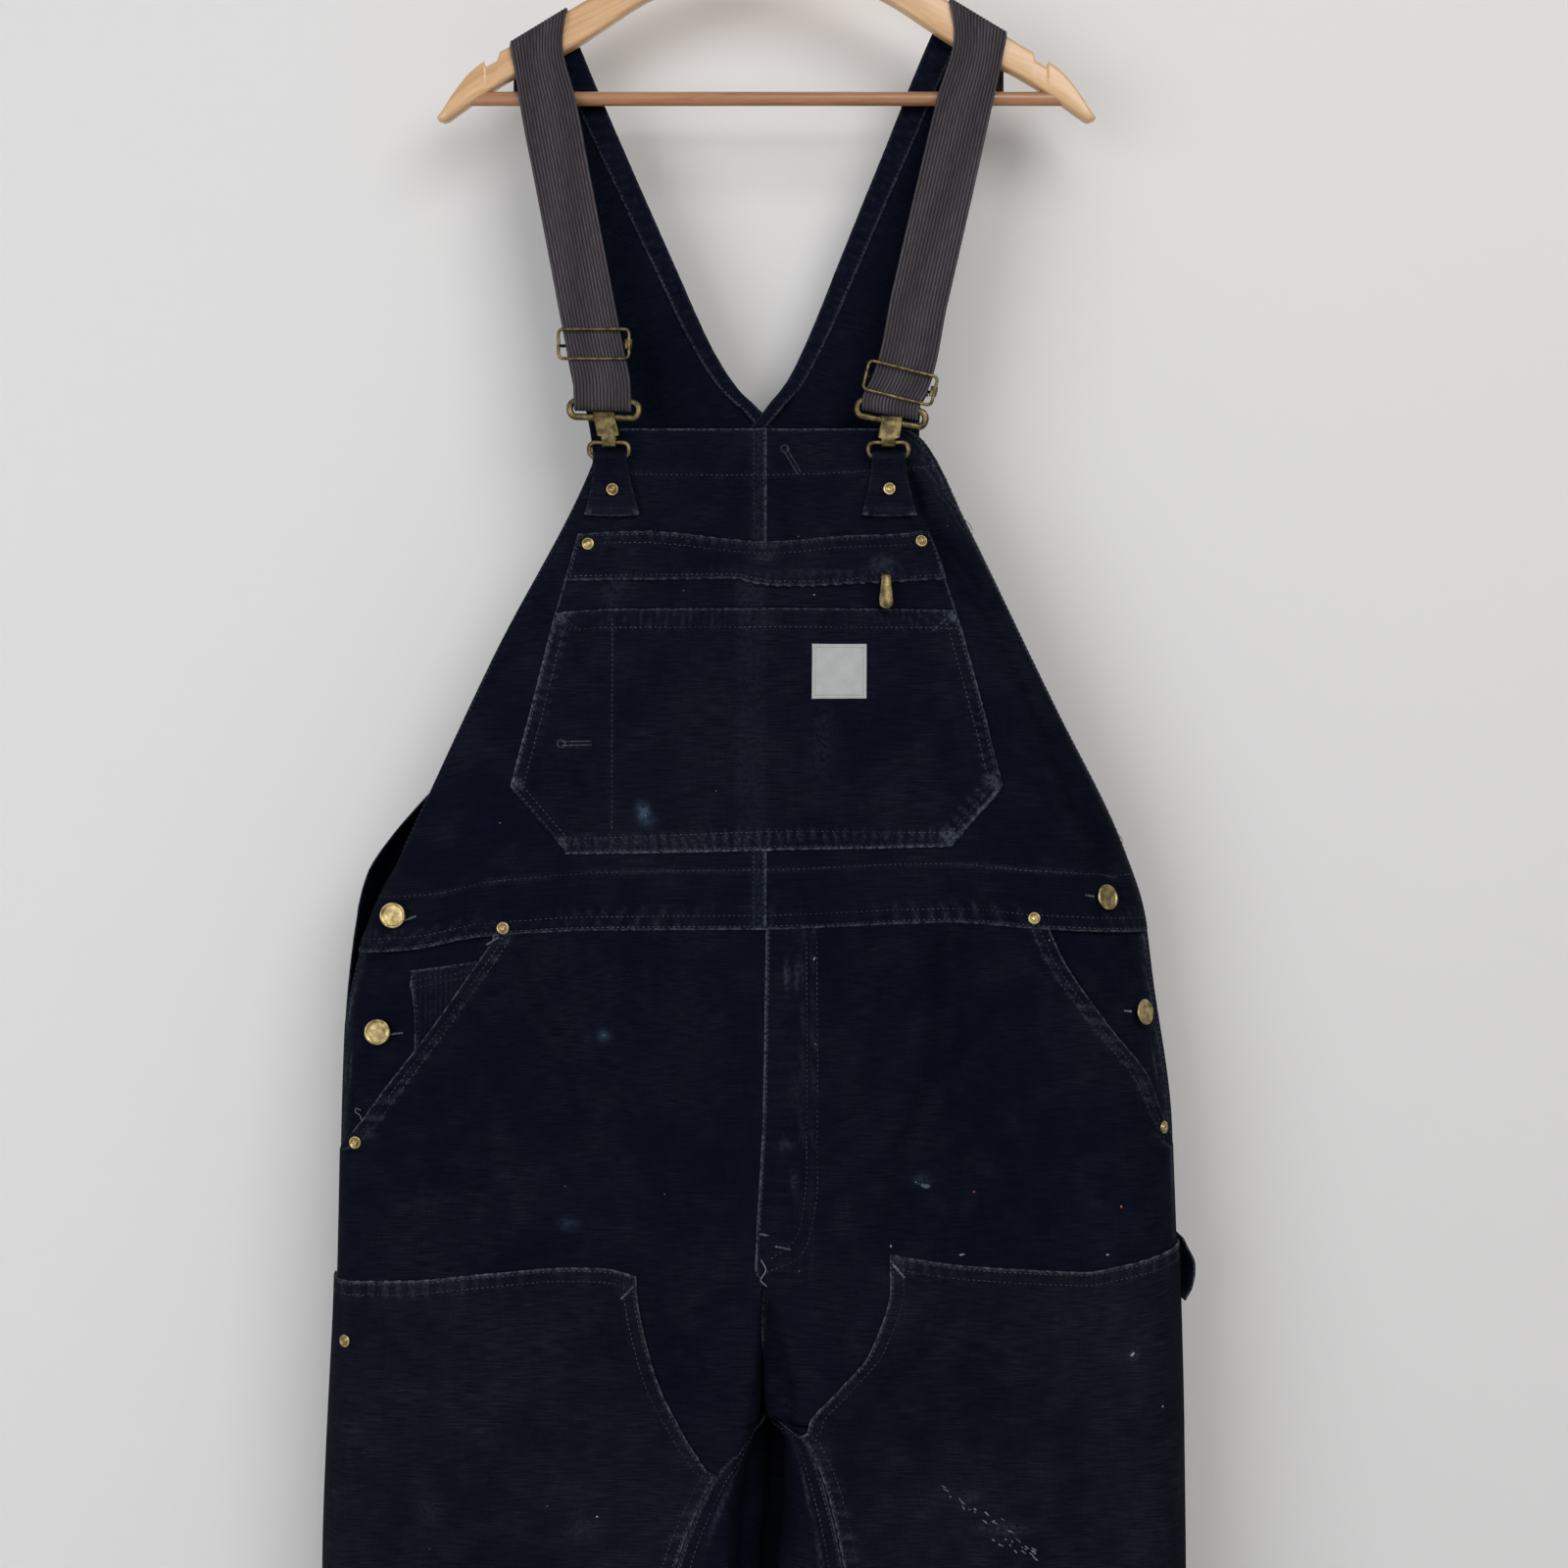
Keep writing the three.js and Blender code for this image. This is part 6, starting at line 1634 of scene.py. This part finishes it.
navy_thread = thread_material("navy thread", (0.0060, 0.0072, 0.0125), (0.070, 0.084, 0.115), 0.62, 1.02)
pale_thread = thread_material("rubbed thread", (0.050, 0.060, 0.085), (0.22, 0.25, 0.30), 0.55, 0.95)
grey_thread = thread_material("grey thread", (0.045, 0.050, 0.055), (0.15, 0.16, 0.165), 0.55, 0.95)
PITCH, LENGTH, THREAD = 3.4, 2.7, 0.62
fly_foot = [(27, -772), (27, -900), (26, -940), (18, -972), (2, -984)]
fly_inside = [(34, -772), (34, -904), (33, -948), (22, -982), (0, -992)]
rows = {"bib": [], "high_back": [], "chest_pocket": [], "fronts": [], "knees": [], "backs": [],
        "small_pieces": []}
for end in ("right", "left"):
    half = f"bib_half_{end}"
    rows["bib"] += [seam_row(half, "left", inset) for inset in ((2.4, 9) if end == "left" else (2.4,))]
    rows["bib"] += [seam_row(half, "top", 32), *(seam_row(half, "foot", inset) for inset in (2.4, 9.5, 40))]
    back = f"high_back_{end}"
    rows["high_back"] += [seam_row(back, "left", inset) for inset in (3, 10)]
    rows["high_back"] += [seam_row(back, "right", inset) for inset in (2.6, 9)]
    rows["high_back"] += [seam_row(back, "foot", inset) for inset in (3, 10)]
    rows["high_back"].append(seam_row(f"neck_hem_{end}", "right", 1.5))
    front = f"trouser_front_piece_{end}"
    rows["fronts"] += [seam_row(front, "left", inset, (0, 182)) for inset in (6.8, 12)]
    rows["fronts"] += [seam_row(front, "foot", 12), seam_row(f"pocket_facing_piece_{end}", "left", 9)]
    knee = f"knee_patch_piece_{end}"
    for edge in ("top", "right", "foot"):
        rows["knees"] += [seam_row(knee, edge, inset) for inset in (2.4, 9)]
    leg = f"trouser_back_piece_{end}"
    for edge in ("left", "right"):
        rows["backs"] += [seam_row(leg, edge, inset) for inset in (2.6, 9)]
    rows["backs"] += [seam_row(leg, "foot", 12)]
    pocket = f"side_pocket_piece_{end}"
    rows["small_pieces"] += [seam_row(pocket, edge, inset) for edge in ("left", "foot")
                             for inset in (2.4, 9)]
    rows["small_pieces"] += [seam_row(pocket, "right", 2.4), seam_row(pocket, "top", 15)]
    tab = f"ring_tab_{end}"
    rows["small_pieces"] += [seam_row(tab, edge, 2.6, (50, 200)) for edge in ("left", "right")]
    rows["small_pieces"].append(seam_row(tab, "foot", 3.4))
rows["bib"] += [seam_row("bib_half_right", "right", inset) for inset in (2.2, 8.6)]
for edge, inset in (("left", 2.4), ("left", 9), ("right", 2.4), ("right", 9), ("top", 13), ("foot", 2.4),
                    ("foot", 12.5)):
    rows["chest_pocket"].append(seam_row("pocket_patch", edge, inset))
for edge, inset in (("left", 2.4), ("right", 2.4), ("top", 2.4), ("top", 8), ("foot", 3.2)):
    rows["chest_pocket"].append(seam_row("pocket_zip_flap", edge, inset))
rows["chest_pocket"].append(drawn("pocket_patch", [(-103, -556), (-103, -700)]))
for near, far in (((-139, -553), (-124, -566)), ((126, -552), (112, -565))):
    rows["chest_pocket"].append(drawn("pocket_patch", [near, far]))
rows["fronts"] += [drawn("trouser_front_piece_left", fly_foot),
                   drawn("trouser_front_piece_left", fly_inside)]
rows["fronts"].append(seam_row("trouser_front_piece_left", "right", 2.2, (0, 215)))
rows["small_pieces"] += [seam_row("coin_pocket_piece", edge, 2.2) for edge in ("left", "foot")]
rows["small_pieces"] += [seam_row("coin_pocket_piece", "top", inset) for inset in (7, 12)]
rows["small_pieces"] += [seam_row("hammer_loop_piece", edge, 2.2) for edge in ("left", "right")]
for seed, (name, lines) in enumerate(rows.items()):
    sew(f"stitches_{name}", [lay(line, PITCH) for line in lines if len(line[0]) > 2], LENGTH, THREAD,
        navy_thread, seed)
border = [lay(seam_row("label_patch", edge, 2.2), 2.2) for edge in ("left", "right", "top", "foot")]
sew("stitches_label", border, 1.5, 0.55, grey_thread, 9, "label_cloth")
horn = []
for end in ("right", "left"):
    horn += [lay(seam_row(f"webbing_{end}", edge, 3.0, (4, 26)), 3.0) for edge in ("left", "right")]
    horn += [lay(seam_row(f"webbing_{end}", "top", inset), 3.0) for inset in (4, 24)]
sew("stitches_horns", horn, 2.4, 0.6, navy_thread, 10, "elastic_webbing")

# ------------------------------------------------------------------ buttonholes
# Buttonholes are edged with close stitches in pale thread: one at the bib's top, one in the chest pocket
# and the ends of those of the side openings. Short tacks hold the fly's foot and the pockets' corners.
holes = []
for name, a, b in (("bib_half_left", (12.5, -442), (22.5, -459)),
                   ("pocket_patch", (-137, -641), (-117, -640.5))):
    run = np.array([b[0] - a[0], b[1] - a[1]], float)
    aside = np.array([-run[1], run[0]]) / np.hypot(*run) * 1.25
    for way in (1, -1):
        holes.append(satin(drawn(name, [np.array(a) + way * aside, np.array(b) + way * aside], 1.5), 1))
    ring = [(a[0] + 2.6 * math.cos(turn), a[1] + 2.6 * math.sin(turn)) for turn in np.linspace(0, 6.28, 12)]
    holes.append(satin(drawn(name, ring, 1.0), 1))
hole_thread = thread_material("buttonhole thread", (0.011, 0.015, 0.023), (0.052, 0.064, 0.088), 0.55, 0.95)
sew("stitches_buttonholes", holes, 2.4, 0.6, hole_thread, 20, uneven=0.3)
tacks = []
for name, a, b in (
        ("bib_half_right", (-241, -759), (-233, -756)), ("pocket_facing_piece_right", (-251, -835),
                                                         (-242, -834)),
        ("bib_half_left", (213, -742), (219, -743)), ("pocket_facing_piece_left", (240, -820), (246, -821)),
        ("trouser_front_piece_left", (-4, -967), (2, -968)),
                   ("trouser_front_piece_left", (6, -975), (16, -977)),
        ("trouser_front_piece_right", (-186, -775), (-178, -770)),
                   ("knee_patch_piece_left", (84, -986), (92, -995)),
        ("knee_patch_piece_right", (-88, -1001), (-96, -1009)), ("pocket_patch", (-3, -712), (4, -712))):
    tacks.append(satin(drawn(name, [a, b], 1.5), 1))
sew("stitches_tacks", tacks, 2.3, 0.55, pale_thread, 21, uneven=0.3)

# ------------------------------------------------------------------ frayed edges and loose threads
# The binding along the bib's left side and the corner of the back beside it are worn to a fringe, and a few
# threads have come loose.
fray_dice = np.random.default_rng(31)


def fray(line, pitch):
    place, along, out = lay(line, pitch)
    along = along / np.linalg.norm(along, axis=1, keepdims=True)
    aside = np.cross(out, along)
    lean = fray_dice.normal(0, 0.8, (len(place), 2))
    way = aside + lean[:, :1] * along + lean[:, 1:] * out
    return place + way * 0.5 + out * 0.2, way, np.cross(way, along) + 0.01


teal_thread = thread_material("frayed thread", (0.008, 0.013, 0.018), (0.045, 0.085, 0.095), 0.60, 1.00)
fringe = [fray(seam_row("bib_half_left", "left", 0.8, keep), 0.9) for keep in ((20, 130), (235, 330))]
fringe += [fray(seam_row("high_back_left", "right", 0.8, (330, 560)), 2.6)]
fringe += [fray(seam_row("high_back_right", "right", 0.8, (500, 560)), 1.2)]
fringe += [fray(seam_row("webbing_left", edge, 0.6, (40, 250)), 2.4) for edge in ("left", "right")]
sew("fringe", fringe, 3.6, 0.26, teal_thread, 30, uneven=0.7)


def loose_thread(name, sheet, stops, radius, material):
    """A thread lying on a sheet through stops of (x, z, how far it stands off)."""
    stops = np.array(stops, float)
    line = smooth_through(stops, 0.8)
    points, normal = touch(sheet, line[:, 0], line[:, 1])
    return hang(tube(name, points + normal * line[:, 2:], radius, material, sides=5), "duck_canvas")


loose_thread("thread_at_pocket_foot", "trouser_front_piece_right",
             [(-268.5, -892, 0.3), (-269.5, -888, 1.0), (-272.5, -886, 1.4), (-271.5, -883.5, 1.2),
              (-269, -884.5, 0.8)], 0.26,
             pale_thread)
loose_thread("thread_at_fly", "trouser_front_piece_left",
             [(-3, -984, 0.6), (0, -990, 2.0), (-3, -996, 2.4), (1, -1001, 1.2)], 0.3, pale_thread)
loose_thread("thread_at_bib_edge", "bib_half_left",
             [(134, -489, 0.5), (138, -492, 1.0), (139, -496, 1.4)], 0.22, teal_thread)
loose_thread("thread_at_bib_foot", "bib_half_left",
             [(238, -702, 0.5), (241, -705, 1.2), (241, -709, 1.2)], 0.22, teal_thread)

# ------------------------------------------------------------------ paint
# Small spatters of blue, white, red and orange paint on the fronts, and a dry scrape across the left knee.
splash_dice = np.random.default_rng(12)


def paint_material(name, color):
    return finish(new_material(name)[0], Base_Color=(*color, 1), Roughness=0.55)


def spatter(name, drops, material):
    """Flat drops of paint on a sheet's face: (sheet, x, z, half length, half width, turn in degrees)."""
    points, faces = [], []
    sides = 10
    for sheet, x, z, long, wide, turn in drops:
        a, b, c = splash_dice.uniform(0, 6.28, 3)
        angle = np.linspace(0, 2 * math.pi, sides, endpoint=False)
        uneven = 1 + 0.22 * np.sin(2 * angle + a) + 0.16 * np.sin(3 * angle + b)
        uneven = uneven + 0.10 * np.sin(5 * angle + c)
        base = len(points)
        for share, height in ((1.0, -0.3), (1.0, 0.12), (0.75, 0.24), (0.35, 0.30)):
            u, v = share * uneven * long * np.cos(angle), share * uneven * wide * np.sin(angle)
            slant = math.radians(turn)
            px = x + u * math.cos(slant) - v * math.sin(slant)
            pz = z + u * math.sin(slant) + v * math.cos(slant)
            place, normal = touch(sheet, px, pz)
            points += list(place + normal * height)
        for ring in range(3):
            for k in range(sides):
                j, n = base + ring * sides, (k + 1) % sides
                faces.append((j + k, j + n, j + sides + n, j + sides + k))
        faces += [tuple(range(base + 3 * sides, base + 4 * sides)),
                  tuple(range(base + sides - 1, base - 1, -1))]
    mesh = bpy.data.meshes.new(name)
    mesh.from_pydata((np.array(points) * MM).tolist(), [], faces)
    build = bmesh.new()
    build.from_mesh(mesh)
    bmesh.ops.recalc_face_normals(build, faces=build.faces)
    build.to_mesh(mesh)
    build.free()
    mesh.materials.append(material)
    return hang(put(name, mesh), "duck_canvas")


left_front = "trouser_front_piece_left"
left_knee, right_knee = "knee_patch_piece_left", "knee_patch_piece_right"
spatter("paint_blue", [(left_front, 106, -935.3, 2.6, 1.8, -8), ("pocket_patch", -82, -685, 1.0, 0.7, 40),
                       ("trouser_front_piece_right", -108, -835.5, 1.1, 0.8, 30)],
        paint_material("dull blue paint", (0.008, 0.024, 0.055)))
spatter("paint_pale_blue", [(left_front, 99.9, -933.3, 0.8, 0.4, -20),
                            (left_front, 101.6, -934.3, 0.4, 0.3, 0),
                            ("pocket_patch", -80, -689, 0.5, 0.4, 0)],
        paint_material("pale blue paint", (0.08, 0.11, 0.12)))
spatter("paint_white", [(left_front, 226.8, -980.5, 0.9, 0.7, 0), (left_front, 83, -975, 0.8, 0.6, 60),
                        (left_front, 130, -980.5, 1.7, 0.6, 5), (left_knee, 263.7, -1081.7, 0.7, 0.6, 0),
                        (left_front, 32.2, -784.3, 1.5, 0.45, 60),
                        ("pocket_zip_band", 32.2, -541, 0.55, 0.5, 0), (left_knee, 243, -1046, 1.6, 0.9, 30),
                        (right_knee, -112, -1154, 0.9, 0.6, 20)],
        paint_material("white paint", (0.16, 0.17, 0.19)))
spatter("paint_red", [(left_front, 138.3, -939, 0.8, 0.7, 0)],
        paint_material("red paint", (0.11, 0.028, 0.022)))
spatter("paint_orange", [(left_front, 236.2, -949, 0.8, 0.7, 20)],
        paint_material("orange paint", (0.26, 0.075, 0.03)))
flecks = []
for _ in range(34):
    share = splash_dice.uniform(0, 1)
    off = splash_dice.normal(0, 1.0 + 3.4 * math.exp(-(((share - 0.62) / 0.2) ** 2)))
    flecks.append((left_knee, 116.8 + 61.9 * share + 0.6 * off, -1134.4 - 44.2 * share + off,
                   splash_dice.uniform(0.7, 2.4), splash_dice.uniform(0.25, 0.55),
                   -35 + splash_dice.normal(0, 12)))
spatter("paint_scrape", flecks, paint_material("scraped paint", (0.085, 0.105, 0.125)))
